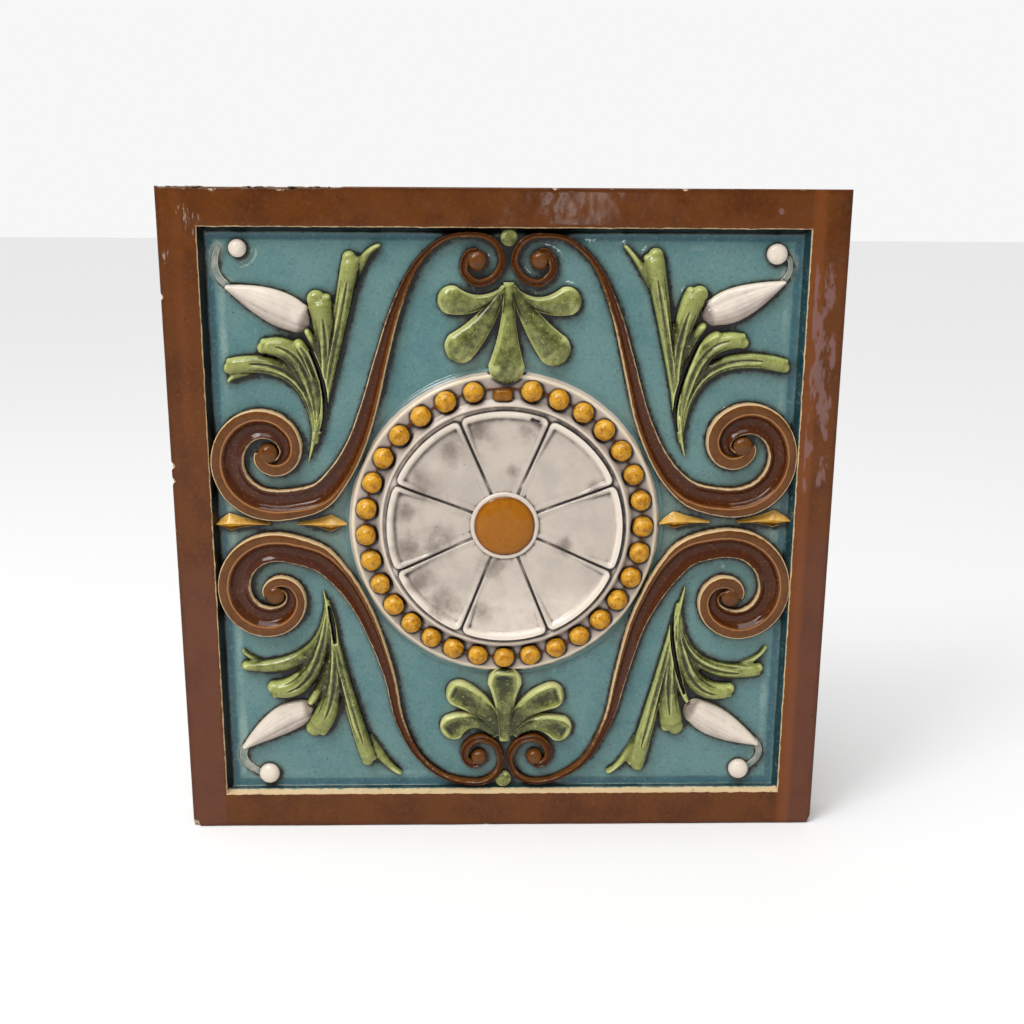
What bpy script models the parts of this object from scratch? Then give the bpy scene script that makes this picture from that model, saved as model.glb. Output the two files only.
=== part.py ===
"""Moulded and glazed relief tile with a raised border, an eight-petalled rosette and scrolled foliage.

The tile is modelled lying on its back and then stood up by one empty: in the working frame x runs
to the right, y towards the tile's top edge and z out of the wall. Carving is drawn in plan units,
shares of the field's own width, and corner ornament is given outwards from the tile's two centre
lines, so that one set of functions serves all four corners.
"""
import math

import bmesh
import bpy
from mathutils import Matrix, Vector

# Driving dimensions, in metres.
TILE_SIDE = 0.300
BODY_THICKNESS = 0.0160
BORDER_HEIGHT = 0.0060
BORDER_WIDTH = 0.0170
BORDER_DRAFT = 0.0020
EDGE_ROUNDING = 0.0007
KEY_GROOVE_COUNT = 6
KEY_GROOVE_WIDTH = 0.0120
KEY_GROOVE_DEPTH = 0.0020
KEY_GROOVE_MARGIN = 0.0220
CORNER_CHIP_LENGTH = 0.0050
CORNER_CHIP_WIDTH = 0.0020
CORNER_CHIP_LEAN = math.radians(14)

# The field is what the border leaves, and the carving is drawn on a field 88.7 units wide.
FIELD_SIDE = TILE_SIDE - 2 * BORDER_WIDTH
FIELD_UNITS = 88.7
UNIT = FIELD_SIDE / FIELD_UNITS
# Relief heights are in half border heights, so a height of 2 is level with the border's face.
LEVEL = BORDER_HEIGHT / 2
ROOT_DEPTH = 0.8

# Rosette, in plan units and levels, worked outwards from the button to the foot of the slope.
BUTTON_RADIUS = 4.7
BUTTON_GAP = 0.5
BUTTON_RISE = 1.0
BUTTON_RINGS = 3
BUTTON_SIDES = 20
PETAL_COUNT = 8
PETAL_INNER_RADIUS = BUTTON_RADIUS + BUTTON_GAP
PETAL_LENGTH = 13.0
PETAL_RADIUS = PETAL_INNER_RADIUS + PETAL_LENGTH
PETAL_GAP = 0.30
PETAL_RIM = 1.0
PETAL_CORNER = 1.3
PETAL_RIM_HEIGHT = 2.5
PETAL_HOLLOW_HEIGHT = 1.9
PETAL_ROOT_HEIGHT = 1.5
RIM_ROUNDING = 0.35
RIM_DROP = 0.2
DISH_HEIGHT = 1.1
DISH_MARGIN = 0.2
FOOT_IN_DISH = 0.7
LIP_GAP = 0.65
LIP_SLOPE = 0.75
LIP_HEIGHT = 1.7
RING_SIDES = 40
BEAD_COUNT = 32
BEAD_RADIUS = 1.6
BEAD_TOP = 2.85
BEAD_SINK = 0.06
BEAD_SIDES = 8
BEAD_RINGS = 4
BEAD_DRIFT = math.radians(3.7)
BEAD_DRIFT_TOWARDS = math.radians(165)
SHELF_HEIGHT = 1.0
SHELF_MARGIN = 0.5
RING_SLOPE = 1.1
RING_LIP = PETAL_RADIUS + LIP_GAP
SHELF_INNER = RING_LIP + LIP_SLOPE
BEAD_CIRCLE = SHELF_INNER + BEAD_RADIUS
SHELF_OUTER = BEAD_CIRCLE + BEAD_RADIUS + SHELF_MARGIN

# Cross-sections of the carving: share of the half width, and share of the height.
RIDGED = ((-0.85, 0.55), (0.0, 1.0), (0.85, 0.55))
ROUNDED = ((-1.0, 0.45), (-0.62, 0.90), (0.0, 1.0), (0.62, 0.90), (1.0, 0.45))
KEELED = ((-1.0, 0.10), (0.0, 1.0), (1.0, 0.10))

# A lobe's end: how far round its rounded end is followed, and how low that end falls.
TIP_TURN = math.radians(80)
TIP_LOW_SHARE = 0.4
LOBE_ROOT_SHARE = 0.55
DART_ROOT_SHARE = 0.8
BALL_SHOULDER = 0.35

# A volute's heights in levels, and where its ridge stands across the band at each quarter turn.
RIM_HEIGHT = 1.95
CHANNEL_HEIGHT = 1.15
INNER_RIM_HEIGHT = 1.6
STEM_TIP_HEIGHT = 1.5
STEM_CHANNEL_DROP = 0.1
FULL_RELIEF_HALF_WIDTH = 2.0
RIDGE_SHARES = (0.31, 0.30, 0.36, 0.60, 1.0)
RIDGE_LEAST = 0.08
RIDGE_MOST = 0.85
STEM_RIM_SPAN = 4.0
SPIRAL_HALF_WIDTHS = (0.32, 0.42, 0.50, 0.50)
EYE_HEIGHT = 2.1
BALL_HEIGHT = 1.9

# Each corner's scroll: the eye, the band's outer and inner radii at each quarter turn from the
# stem inwards, the stem as points with half widths, and the small end spiral round its ball.
SCROLLS = {
    "top_left": {
        "eye": (35.7, 11.0), "outer": (10.65, 8.35, 6.7, 5.0, 3.0), "inner": (5.9, 3.55, 2.4, 1.75, 0.6),
        "stem": ((28.9, 4.1, 2.1), (25.5, 7.2, 1.75), (22.6, 12.0, 1.45), (20.4, 18.0, 1.25),
                 (18.4, 25.2, 1.0), (16.1, 32.7, 0.75), (13.0, 39.1, 0.42), (8.8, 42.8, 0.30)),
        "ball": (4.2, 39.7), "ball_radius": 1.5, "spiral": (3.65, 3.7, 3.2, 1.7)},
    "top_right": {
        "eye": (36.0, 12.2), "outer": (11.3, 8.1, 6.6, 5.4, 3.0), "inner": (6.8, 3.9, 1.9, 1.7, 0.6),
        "stem": ((29.4, 4.4, 1.95), (25.7, 7.2, 1.6), (22.9, 11.3, 1.35), (20.5, 17.0, 1.15),
                 (18.5, 24.5, 0.92), (16.4, 32.0, 0.70), (13.4, 38.8, 0.42), (9.3, 42.6, 0.30)),
        "ball": (5.0, 39.8), "ball_radius": 1.4, "spiral": (3.5, 3.7, 3.3, 1.8)},
    "bottom_left": {
        "eye": (35.5, 11.1), "outer": (10.4, 8.5, 6.5, 4.6, 2.7), "inner": (5.9, 3.6, 2.0, 1.7, 0.6),
        "stem": ((29.0, 4.9, 2.1), (25.6, 7.9, 1.7), (22.9, 11.8, 1.4), (20.5, 17.0, 1.15),
                 (18.1, 24.5, 0.85), (16.6, 32.0, 0.65), (13.7, 38.2, 0.42), (9.3, 42.0, 0.30)),
        "ball": (4.0, 38.6), "ball_radius": 1.3, "spiral": (4.4, 3.5, 3.3, 2.2)},
    "bottom_right": {
        "eye": (35.3, 11.6), "outer": (11.5, 8.9, 6.5, 4.9, 3.2), "inner": (6.9, 4.2, 2.1, 1.8, 0.6),
        "stem": ((28.9, 4.0, 2.2), (25.6, 7.2, 1.95), (22.9, 11.5, 1.6), (20.6, 16.7, 1.3),
                 (18.5, 24.5, 1.0), (16.7, 32.0, 0.70), (13.3, 38.7, 0.42), (9.0, 42.0, 0.30)),
        "ball": (4.9, 38.6), "ball_radius": 1.3, "spiral": (4.3, 3.9, 3.4, 2.2)},
}

# Each leaf's lobes: three points with half widths (root, middle, end), and the height at the end.
LEAVES = {
    "top_left": (
        ((28.2, 14.0, 0.5), (31.4, 22.3, 1.3), (40.1, 24.3, 1.2), 1.6),
        ((37.2, 23.6, 0.7), (39.8, 22.9, 0.5), (41.1, 22.0, 0.25), 1.1),
        ((27.7, 16.5, 0.5), (30.2, 24.3, 1.9), (35.0, 27.2, 1.1), 2.1),
        ((28.2, 22.0, 0.7), (29.2, 25.2, 1.0), (30.5, 27.5, 0.8), 1.9),
        ((27.2, 13.5, 0.4), (24.7, 27.5, 1.2), (22.6, 39.2, 1.3), 1.9),
        ((22.6, 36.0, 0.9), (20.6, 40.0, 0.6), (18.4, 41.8, 0.3), 1.3),
        ((26.6, 17.0, 0.5), (26.3, 25.5, 1.4), (27.1, 33.1, 1.8), 2.1),
        ((27.0, 22.5, 0.4), (27.9, 26.5, 0.6), (29.2, 29.4, 0.5), 1.5)),
    "top_right": (
        ((26.6, 14.2, 0.4), (30.6, 23.5, 1.1), (41.2, 24.6, 1.0), 1.6),
        ((26.0, 17.0, 0.4), (29.0, 25.3, 1.4), (34.6, 28.2, 1.1), 2.1),
        ((27.6, 23.5, 0.5), (29.3, 26.9, 0.9), (31.4, 28.9, 0.7), 1.9),
        ((25.9, 14.0, 0.4), (23.7, 27.5, 1.1), (21.8, 39.6, 1.5), 1.9),
        ((21.8, 36.0, 0.8), (19.5, 39.4, 0.5), (17.5, 41.8, 0.3), 1.3),
        ((25.2, 17.0, 0.4), (25.2, 26.0, 1.4), (27.8, 34.3, 1.6), 2.1),
        ((26.0, 23.5, 0.4), (27.5, 27.7, 0.8), (29.3, 30.3, 0.6), 1.5)),
    "bottom_left": (
        ((27.6, 12.5, 0.4), (30.7, 20.8, 1.4), (40.6, 22.9, 0.6), 1.5),
        ((37.8, 22.7, 0.5), (39.9, 21.5, 0.35), (41.0, 20.3, 0.15), 1.0),
        ((27.3, 16.5, 0.5), (30.4, 23.8, 1.8), (35.4, 26.8, 1.4), 2.1),
        ((26.9, 12.5, 0.4), (24.7, 26.0, 1.1), (21.8, 38.2, 1.2), 1.9),
        ((21.9, 35.0, 0.8), (19.2, 39.1, 0.7), (16.6, 41.3, 0.25), 1.3),
        ((26.4, 18.5, 0.6), (26.7, 26.0, 1.8), (29.2, 32.7, 1.8), 2.1),
        ((26.9, 20.5, 0.4), (28.5, 25.5, 0.8), (30.6, 29.0, 0.6), 1.6)),
    "bottom_right": (
        ((26.9, 13.8, 0.4), (30.3, 21.9, 1.2), (39.8, 23.9, 1.0), 1.5),
        ((37.8, 23.2, 0.6), (40.0, 21.9, 0.35), (41.5, 20.0, 0.15), 1.0),
        ((26.8, 18.0, 0.5), (29.7, 25.0, 1.7), (35.2, 27.3, 1.1), 2.1),
        ((26.2, 14.2, 0.4), (23.9, 27.0, 1.1), (21.5, 39.1, 1.4), 1.9),
        ((21.8, 35.2, 0.8), (19.4, 39.1, 0.6), (16.8, 41.3, 0.25), 1.3),
        ((26.1, 17.5, 0.5), (26.0, 25.5, 1.7), (26.8, 32.4, 1.8), 2.1),
        ((26.8, 21.5, 0.4), (27.9, 26.0, 0.6), (29.2, 29.0, 0.4), 1.5)),
}

# Each corner's bud and its curled tail, as lobes, and the round dot with its radius.
BUDS = {
    "top_left": ((28.9, 30.7, 1.2), (33.6, 33.1, 2.8), (40.5, 35.7, 0.4), 1.9),
    "top_right": ((29.2, 31.8, 1.4), (33.8, 33.7, 2.7), (40.9, 36.7, 0.3), 1.9),
    "bottom_left": ((30.6, 30.2, 1.4), (35.1, 32.1, 2.5), (41.3, 36.5, 0.4), 1.8),
    "bottom_right": ((29.2, 30.3, 1.4), (33.7, 33.0, 2.7), (40.6, 36.2, 0.4), 1.9),
}
TAILS = {
    "top_left": ((40.2, 35.6, 0.45), (42.4, 37.9, 0.4), (41.9, 40.9, 0.3), 0.45),
    "top_right": ((40.8, 36.6, 0.3), (41.9, 38.3, 0.3), (41.7, 40.2, 0.25), 0.35),
    "bottom_left": ((41.1, 36.3, 0.4), (41.7, 39.2, 0.55), (38.9, 41.5, 0.5), 0.45),
    "bottom_right": ((40.4, 36.0, 0.4), (41.4, 38.6, 0.5), (39.2, 41.0, 0.5), 0.5),
}
DOTS = {
    "top_left": (38.9, 41.3, 1.3),
    "top_right": (39.8, 40.8, 1.5),
    "bottom_left": (37.7, 41.4, 1.6),
    "bottom_right": (38.1, 41.0, 1.6),
}
DOT_HEIGHT = 1.5

# Palmettes and the balls above and below them stand on the vertical centre line, so their
# places are given as they are seen, with x to the right and y up.
TOP_PALMETTE = (
    ((0.5, 36.6, 0.8), (0.4, 30.3, 1.2), (0.2, 24.4, 2.7), 2.6),
    ((-0.1, 36.0, 0.5), (-3.2, 30.9, 1.5), (-6.6, 27.2, 2.4), 2.2),
    ((1.0, 36.0, 0.5), (4.1, 30.8, 1.6), (7.2, 26.9, 2.5), 2.2),
    ((-0.9, 35.2, 0.4), (-4.3, 33.6, 1.2), (-7.9, 34.0, 2.1), 2.0),
    ((1.8, 35.1, 0.4), (5.2, 33.4, 1.1), (9.1, 33.9, 2.1), 2.0))
BOTTOM_PALMETTE = (
    ((0.1, -35.6, 0.8), (0.1, -30.0, 1.4), (0.1, -25.8, 2.7), 2.6),
    ((-0.6, -34.6, 0.6), (-3.2, -30.4, 1.6), (-7.1, -27.6, 2.1), 2.2),
    ((0.9, -34.6, 0.6), (3.3, -30.4, 1.5), (7.5, -28.0, 2.1), 2.2),
    ((-1.2, -34.9, 0.6), (-4.7, -32.4, 1.1), (-8.1, -33.3, 2.1), 2.0),
    ((1.8, -34.9, 0.5), (5.0, -32.8, 1.1), (8.8, -33.6, 2.1), 2.0))
CENTRE_BALLS = ((0.5, 43.0, 1.25), (-0.1, -42.5, 1.3))

# Darts between each side's pair of scrolls: tip, widest place with its half width, and tail.
DARTS = (
    ((-44.4, 0.0, 0.15), (-42.0, 0.3, 1.35), (-36.0, 0.1, 0.15), 1.3),
    ((-24.2, 0.0, 0.15), (-26.6, 0.1, 1.35), (-31.5, 0.1, 0.15), 1.3),
    ((23.8, 0.1, 0.15), (26.2, 0.6, 1.35), (31.5, 0.4, 0.15), 1.3),
    ((44.4, 0.5, 0.15), (41.6, 0.8, 1.35), (36.0, 0.4, 0.15), 1.3))

# How finely the carving is faceted: a slender lobe is narrower than the given half width.
LOBE_STEPS = 4
TIP_STEPS = 2
SLENDER_HALF_WIDTH = 0.9
SLENDER_LOBE_STEPS = 3
SLENDER_TIP_STEPS = 1
STEPS_A_QUARTER = 5
SPIRAL_STEPS = 2
BALL_SIDES = 8
BALL_RINGS = 2
SHARP_ANGLE = math.radians(40)

# Where a corner's outward directions point, as seen from the front.
CORNERS = {"top_left": (-1, 1), "top_right": (1, 1), "bottom_left": (-1, -1), "bottom_right": (1, -1)}

GLAZE_BROWN = (0.162, 0.061, 0.016)


def clear_scene():
    """Remove every object that the scene holds."""
    for item in list(bpy.data.objects):
        bpy.data.objects.remove(item, do_unlink=True)


def new_collection(name):
    """Make a collection in the scene."""
    collection = bpy.data.collections.new(name)
    bpy.context.scene.collection.children.link(collection)
    return collection


def glaze_material(name, colour, roughness):
    """Make a plain glossy material for a glazed surface."""
    material = bpy.data.materials.new(name)
    material.use_nodes = True
    shader = material.node_tree.nodes["Principled BSDF"]
    shader.inputs["Base Color"].default_value = (*colour, 1.0)
    shader.inputs["Roughness"].default_value = roughness
    shader.inputs["Metallic"].default_value = 0.0
    return material


def add_object(name, shape, collection, parent):
    """Turn a bmesh into an object of the collection, standing with its parent."""
    mesh = bpy.data.meshes.new(name)
    bmesh.ops.recalc_face_normals(shape, faces=shape.faces)
    shape.to_mesh(mesh)
    shape.free()
    item = bpy.data.objects.new(name, mesh)
    collection.objects.link(item)
    item.parent = parent
    return item


def shade_round(mesh):
    """Shade a carved form smooth, apart from its sharper edges."""
    mesh.shade_smooth()
    mesh.set_sharp_from_angle(angle=SHARP_ANGLE)


def place(point_x, point_y, height):
    """Give a place on the tile, in metres, for a plan position in units and a height in levels."""
    return Vector((point_x * UNIT, point_y * UNIT, BODY_THICKNESS + height * LEVEL))


def through_three(first, middle, last, share):
    """Interpolate smoothly through three values that stand at shares 0, a half and 1."""
    return (first * (1 - share) * (1 - 2 * share)
            + middle * 4 * share * (1 - share)
            + last * share * (2 * share - 1))


def smooth_between(values, position):
    """Read a smooth curve through equally spaced values at a position counted in spacings."""
    index = min(int(position), len(values) - 2)
    share = position - index
    here = values[index]
    after = values[index + 1]
    before = values[index - 1] if index > 0 else 2 * here - after
    beyond = values[index + 2] if index + 2 < len(values) else 2 * after - here
    slope_here = (after - before) / 2
    slope_after = (beyond - here) / 2
    return (here * (2 * share ** 3 - 3 * share ** 2 + 1)
            + slope_here * (share ** 3 - 2 * share ** 2 + share)
            + after * (3 * share ** 2 - 2 * share ** 3)
            + slope_after * (share ** 3 - share ** 2))


def loft(loops):
    """Join closed loops of equal length into one capped body."""
    shape = bmesh.new()
    rings = [[shape.verts.new(point) for point in loop] for loop in loops]
    count = len(loops[0])
    for ring, following in zip(rings, rings[1:]):
        for index in range(count):
            beside = (index + 1) % count
            shape.faces.new((ring[index], ring[beside], following[beside], following[index]))
    shape.faces.new(rings[0])
    shape.faces.new(rings[-1])
    return shape


def section_loop(centre, across, half_width, height, section):
    """Give one cross-section of a carved lobe, with its feet set into the ground."""
    points = []
    for offset, rise in section:
        spot = centre + across * offset * half_width
        points.append(place(spot.x, spot.y, height * rise))
    for side in (1, -1):
        foot = centre + across * side * half_width
        points.append(place(foot.x, foot.y, -ROOT_DEPTH))
    return points


def stations_to_loops(stations, section):
    """Turn stations of centre, half width and height into cross-sections square to their path."""
    loops = []
    for index, (centre, half_width, height) in enumerate(stations):
        before = stations[max(index - 1, 0)][0]
        after = stations[min(index + 1, len(stations) - 1)][0]
        along = (after - before).normalized()
        across = Vector((along.y, -along.x))
        loops.append(section_loop(centre, across, half_width, height, section))
    return loops


def lobe_shape(lobe, signs, section, root_share=LOBE_ROOT_SHARE):
    """Model a lobe that runs through three points and swells from its root to a rounded end."""
    root, middle, end, height = lobe
    slender = max(root[2], middle[2], end[2]) < SLENDER_HALF_WIDTH
    steps = SLENDER_LOBE_STEPS if slender else LOBE_STEPS
    tip_steps = SLENDER_TIP_STEPS if slender else TIP_STEPS
    stations = []
    for step in range(steps + 1):
        share = step / steps
        x, y, half_width = (through_three(root[axis], middle[axis], end[axis], share) for axis in range(3))
        rise = height * (root_share + (1 - root_share) * math.sin(share * math.pi / 2))
        stations.append((Vector((x * signs[0], y * signs[1])), half_width, rise))
    last, end_width, end_height = stations[-1]
    along = (last - stations[-2][0]).normalized()
    for step in range(1, tip_steps + 1):
        turn = step / tip_steps * TIP_TURN
        stations.append((last + along * end_width * math.sin(turn),
                         end_width * math.cos(turn),
                         end_height * (TIP_LOW_SHARE + (1 - TIP_LOW_SHARE) * math.cos(turn))))
    return loft(stations_to_loops(stations, section))


def dome_shape(x, y, radius, height):
    """Model a round dome that stands on the ground."""
    loops = [(radius, -ROOT_DEPTH)]
    for ring in range(BALL_RINGS):
        turn = ring / BALL_RINGS * math.pi / 2
        rise = BALL_SHOULDER + (1 - BALL_SHOULDER) * math.sin(turn)
        loops.append((radius * math.cos(turn), height * rise))
    points = []
    for reach, rise in loops:
        turns = [2 * math.pi * side / BALL_SIDES for side in range(BALL_SIDES)]
        points.append([place(x + reach * math.cos(turn), y + reach * math.sin(turn), rise) for turn in turns])
    return loft(points)


def volute_stations(scroll):
    """Follow a scroll's band from its eye out to the stem, as centres, half widths and ridge shares."""
    eye = Vector(scroll["eye"])
    quarters = len(scroll["outer"]) - 1
    stations = []
    for step in range(quarters * STEPS_A_QUARTER, 0, -1):
        position = step / STEPS_A_QUARTER
        outer = smooth_between(scroll["outer"], position)
        inner = smooth_between(scroll["inner"], position)
        turn = -math.pi / 2 + position * math.pi / 2
        outward = Vector((math.cos(turn), math.sin(turn)))
        ridge = smooth_between(RIDGE_SHARES, position)
        stations.append((eye + outward * (outer + inner) / 2, (outer - inner) / 2, ridge))
    return stations


def stem_stations(scroll):
    """Follow the stem from the volute to the small spiral and round its ball."""
    eye_x, eye_y = scroll["eye"]
    start = ((eye_x, eye_y - (scroll["outer"][0] + scroll["inner"][0]) / 2,
              (scroll["outer"][0] - scroll["inner"][0]) / 2),)
    ball_x, ball_y = scroll["ball"]
    controls = list(start + scroll["stem"])
    for quarter, (radius, half_width) in enumerate(zip(scroll["spiral"], SPIRAL_HALF_WIDTHS)):
        turn = math.pi / 2 + quarter * math.pi / 2
        controls.append((ball_x + radius * math.cos(turn), ball_y + radius * math.sin(turn), half_width))
        if quarter < len(SPIRAL_HALF_WIDTHS) - 1:
            turn += math.pi / 4
            radius = (radius + scroll["spiral"][quarter + 1]) / 2
            controls.append((ball_x + radius * math.cos(turn), ball_y + radius * math.sin(turn), half_width))
    stem_end = len(scroll["stem"])
    spiral_count = (len(controls) - 1 - stem_end) * SPIRAL_STEPS
    positions = list(range(stem_end))
    positions += [stem_end + step / SPIRAL_STEPS for step in range(spiral_count + 1)]
    stations = []
    for position in positions:
        x, y, half_width = (smooth_between([control[axis] for control in controls], position)
                            for axis in range(3))
        ridge = RIDGE_SHARES[0] * max(0.0, 1 - position / STEM_RIM_SPAN)
        stations.append((Vector((x, y)), half_width, ridge))
    return stations


def scroll_shape(scroll, signs):
    """Model one scroll: a rim, a hollow channel and a thin inner rim, from the eye to the small spiral."""
    volute = volute_stations(scroll)
    stem = stem_stations(scroll)
    stations = volute + stem
    loops = []
    for index, (centre, half_width, ridge) in enumerate(stations):
        before = stations[max(index - 1, 0)][0]
        after = stations[min(index + 1, len(stations) - 1)][0]
        along = (after - before).normalized()
        outward = Vector((-along.y, along.x))
        fade = min(1.0, half_width / FULL_RELIEF_HALF_WIDTH)
        rim = STEM_TIP_HEIGHT + (RIM_HEIGHT - STEM_TIP_HEIGHT) * fade
        inner_rim = STEM_TIP_HEIGHT + (INNER_RIM_HEIGHT - STEM_TIP_HEIGHT) * fade
        channel = STEM_TIP_HEIGHT - STEM_CHANNEL_DROP + (CHANNEL_HEIGHT - STEM_TIP_HEIGHT) * fade
        ridge_offset = 1 - 2 * min(max(ridge, RIDGE_LEAST), RIDGE_MOST)
        profile = ((1.0, -ROOT_DEPTH), (1.0, rim), (ridge_offset, rim), (ridge_offset / 2 - 0.5, channel),
                   (-1.0, inner_rim), (-1.0, -ROOT_DEPTH))
        loop = []
        for offset, height in profile:
            spot = centre + outward * offset * half_width
            loop.append(place(spot.x * signs[0], spot.y * signs[1], height))
        loops.append(loop)
    return loft(loops)


def polar_place(radius, turn, height):
    """Give a place on the tile from a radius and a turn about the rosette's centre."""
    return place(radius * math.cos(turn), radius * math.sin(turn), height)


def petal_outline(inset, middle_turn):
    """Give a petal's outline as radii and turns, drawn in by an inset, with rounded outer corners."""
    half_turn = math.pi / PETAL_COUNT
    outer = PETAL_RADIUS - inset
    side = PETAL_GAP + inset
    corner = max(PETAL_CORNER - inset / 2, PETAL_GAP)
    root_turn = half_turn - math.asin(min(side / PETAL_INNER_RADIUS, 0.9 * math.sin(half_turn)))
    side_turn = half_turn - math.asin(side / (outer - corner))
    end_turn = half_turn - math.asin(side / outer)
    corner_turn = corner / outer
    rows = [(PETAL_INNER_RADIUS, -root_turn),
            (outer - corner, -side_turn),
            (outer - 0.3 * corner, 0.3 * corner_turn - end_turn),
            (outer, corner_turn - end_turn),
            (outer, (corner_turn - end_turn) / 3)]
    mirrored = [(radius, -turn) for radius, turn in reversed(rows)]
    return [(radius, turn + middle_turn) for radius, turn in rows + mirrored]


def petal_loop(index, inset, rim_height):
    """Give a petal's outline at a height that falls from the rim's own to the root's."""
    points = []
    for radius, turn in petal_outline(inset, 2 * math.pi * index / PETAL_COUNT):
        share = (radius - PETAL_INNER_RADIUS) / PETAL_LENGTH
        height = PETAL_ROOT_HEIGHT + (rim_height - PETAL_ROOT_HEIGHT) * share
        points.append(polar_place(radius, turn, height))
    return points


def petal_shape(index):
    """Model one petal with a raised rim round its hollow, falling towards the button."""
    foot_height = DISH_HEIGHT - FOOT_IN_DISH
    middle_turn = 2 * math.pi * index / PETAL_COUNT
    foot = [polar_place(radius, turn, foot_height) for radius, turn in petal_outline(0.0, middle_turn)]
    return loft([foot,
                 petal_loop(index, 0.0, PETAL_RIM_HEIGHT - RIM_DROP),
                 petal_loop(index, PETAL_RIM * RIM_ROUNDING, PETAL_RIM_HEIGHT),
                 petal_loop(index, PETAL_RIM, PETAL_HOLLOW_HEIGHT)])


def turned_object(name, profile, collection, parent, sides):
    """Turn a profile of radii and heights about the rosette's axis with a Screw modifier."""
    shape = bmesh.new()
    verts = [shape.verts.new(place(radius, 0.0, height)) for radius, height in profile]
    for upper, lower in zip(verts, verts[1:]):
        shape.edges.new((upper, lower))
    mesh = bpy.data.meshes.new(name)
    shape.to_mesh(mesh)
    shape.free()
    item = bpy.data.objects.new(name, mesh)
    collection.objects.link(item)
    item.parent = parent
    screw = item.modifiers.new("turn", "SCREW")
    screw.axis = "Z"
    screw.steps = sides
    screw.render_steps = sides
    screw.use_merge_vertices = True
    screw.merge_threshold = 0.0001
    return item


def rosette_ring(collection, parent):
    """Turn the rosette's bed: the dish, the lip round it, the bead shelf and the outer slope."""
    buried_foot = SHELF_OUTER + RING_SLOPE * (1 + ROOT_DEPTH / SHELF_HEIGHT)
    profile = ((0.0, DISH_HEIGHT), (PETAL_RADIUS + DISH_MARGIN, DISH_HEIGHT), (RING_LIP, LIP_HEIGHT),
               (SHELF_INNER, SHELF_HEIGHT), (SHELF_OUTER, SHELF_HEIGHT),
               (buried_foot, -ROOT_DEPTH), (0.0, -ROOT_DEPTH))
    return turned_object("rosette_bed", profile, collection, parent, RING_SIDES)


def rosette_button(collection, parent):
    """Turn the domed button at the rosette's centre."""
    profile = []
    for ring in range(BUTTON_RINGS + 1):
        turn = math.pi / 2 * ring / BUTTON_RINGS
        rise = PETAL_ROOT_HEIGHT + BUTTON_RISE * math.cos(turn)
        profile.append((BUTTON_RADIUS * math.sin(turn), rise))
    foot_height = DISH_HEIGHT - FOOT_IN_DISH
    profile += [(BUTTON_RADIUS, foot_height), (0.0, foot_height)]
    return turned_object("rosette_button", profile, collection, parent, BUTTON_SIDES)


def rosette_beads(collection, parent):
    """Set the beads in their circle, each sunk to its middle in the shelf.

    They were set by hand, and those on the left stand a little further round.
    """
    seat = SHELF_HEIGHT - BEAD_SINK
    for index in range(BEAD_COUNT):
        turn = 2 * math.pi * index / BEAD_COUNT + math.pi / 2
        turn += BEAD_DRIFT * max(0.0, math.cos(turn - BEAD_DRIFT_TOWARDS))
        shape = bmesh.new()
        radius = BEAD_RADIUS * UNIT
        bmesh.ops.create_uvsphere(shape, u_segments=BEAD_SIDES, v_segments=BEAD_RINGS, radius=radius)
        stretch = Matrix.Diagonal((1.0, 1.0, (BEAD_TOP - seat) * LEVEL / radius)).to_4x4()
        twist = Matrix.Rotation(turn, 4, "Z")
        centre = Matrix.Translation(polar_place(BEAD_CIRCLE, turn, seat))
        bmesh.ops.transform(shape, matrix=centre @ stretch @ twist, verts=shape.verts)
        add_object("bead_%02d" % (index + 1), shape, collection, parent)


def field_cutter(collection, parent):
    """Make the drafted block that sinks the field below the border's face."""
    shape = bmesh.new()
    over = 0.5 * BORDER_HEIGHT
    draft_a_metre = BORDER_DRAFT / BORDER_HEIGHT
    bottom = FIELD_SIDE / 2 - BORDER_DRAFT
    top = FIELD_SIDE / 2 + over * draft_a_metre
    bmesh.ops.create_cone(shape, cap_ends=True, segments=4, radius1=bottom * math.sqrt(2),
                          radius2=top * math.sqrt(2), depth=BORDER_HEIGHT + over)
    lift = BODY_THICKNESS + (BORDER_HEIGHT + over) / 2
    quarter = Matrix.Rotation(math.pi / 4, 4, "Z")
    bmesh.ops.transform(shape, matrix=Matrix.Translation((0.0, 0.0, lift)) @ quarter, verts=shape.verts)
    return add_object("field_cutter", shape, collection, parent)


def box_shape(size, centre):
    """Make a box of a size about a centre."""
    shape = bmesh.new()
    bmesh.ops.create_cube(shape, size=1.0)
    matrix = Matrix.Translation(centre) @ Matrix.Diagonal(size).to_4x4()
    bmesh.ops.transform(shape, matrix=matrix, verts=shape.verts)
    return shape


def groove_cutters(collection, parent):
    """Make the shallow grooves that key the back into its mortar, with a land at the centre."""
    length = TILE_SIDE - 2 * KEY_GROOVE_MARGIN
    pitch = length / KEY_GROOVE_COUNT
    for index in range(KEY_GROOVE_COUNT):
        centre_y = (index - (KEY_GROOVE_COUNT - 1) / 2) * pitch
        size = Vector((length, KEY_GROOVE_WIDTH, 2 * KEY_GROOVE_DEPTH))
        shape = box_shape(size, Vector((0.0, centre_y, 0.0)))
        add_object("key_groove_cutter_%d" % (index + 1), shape, collection, parent)


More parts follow.
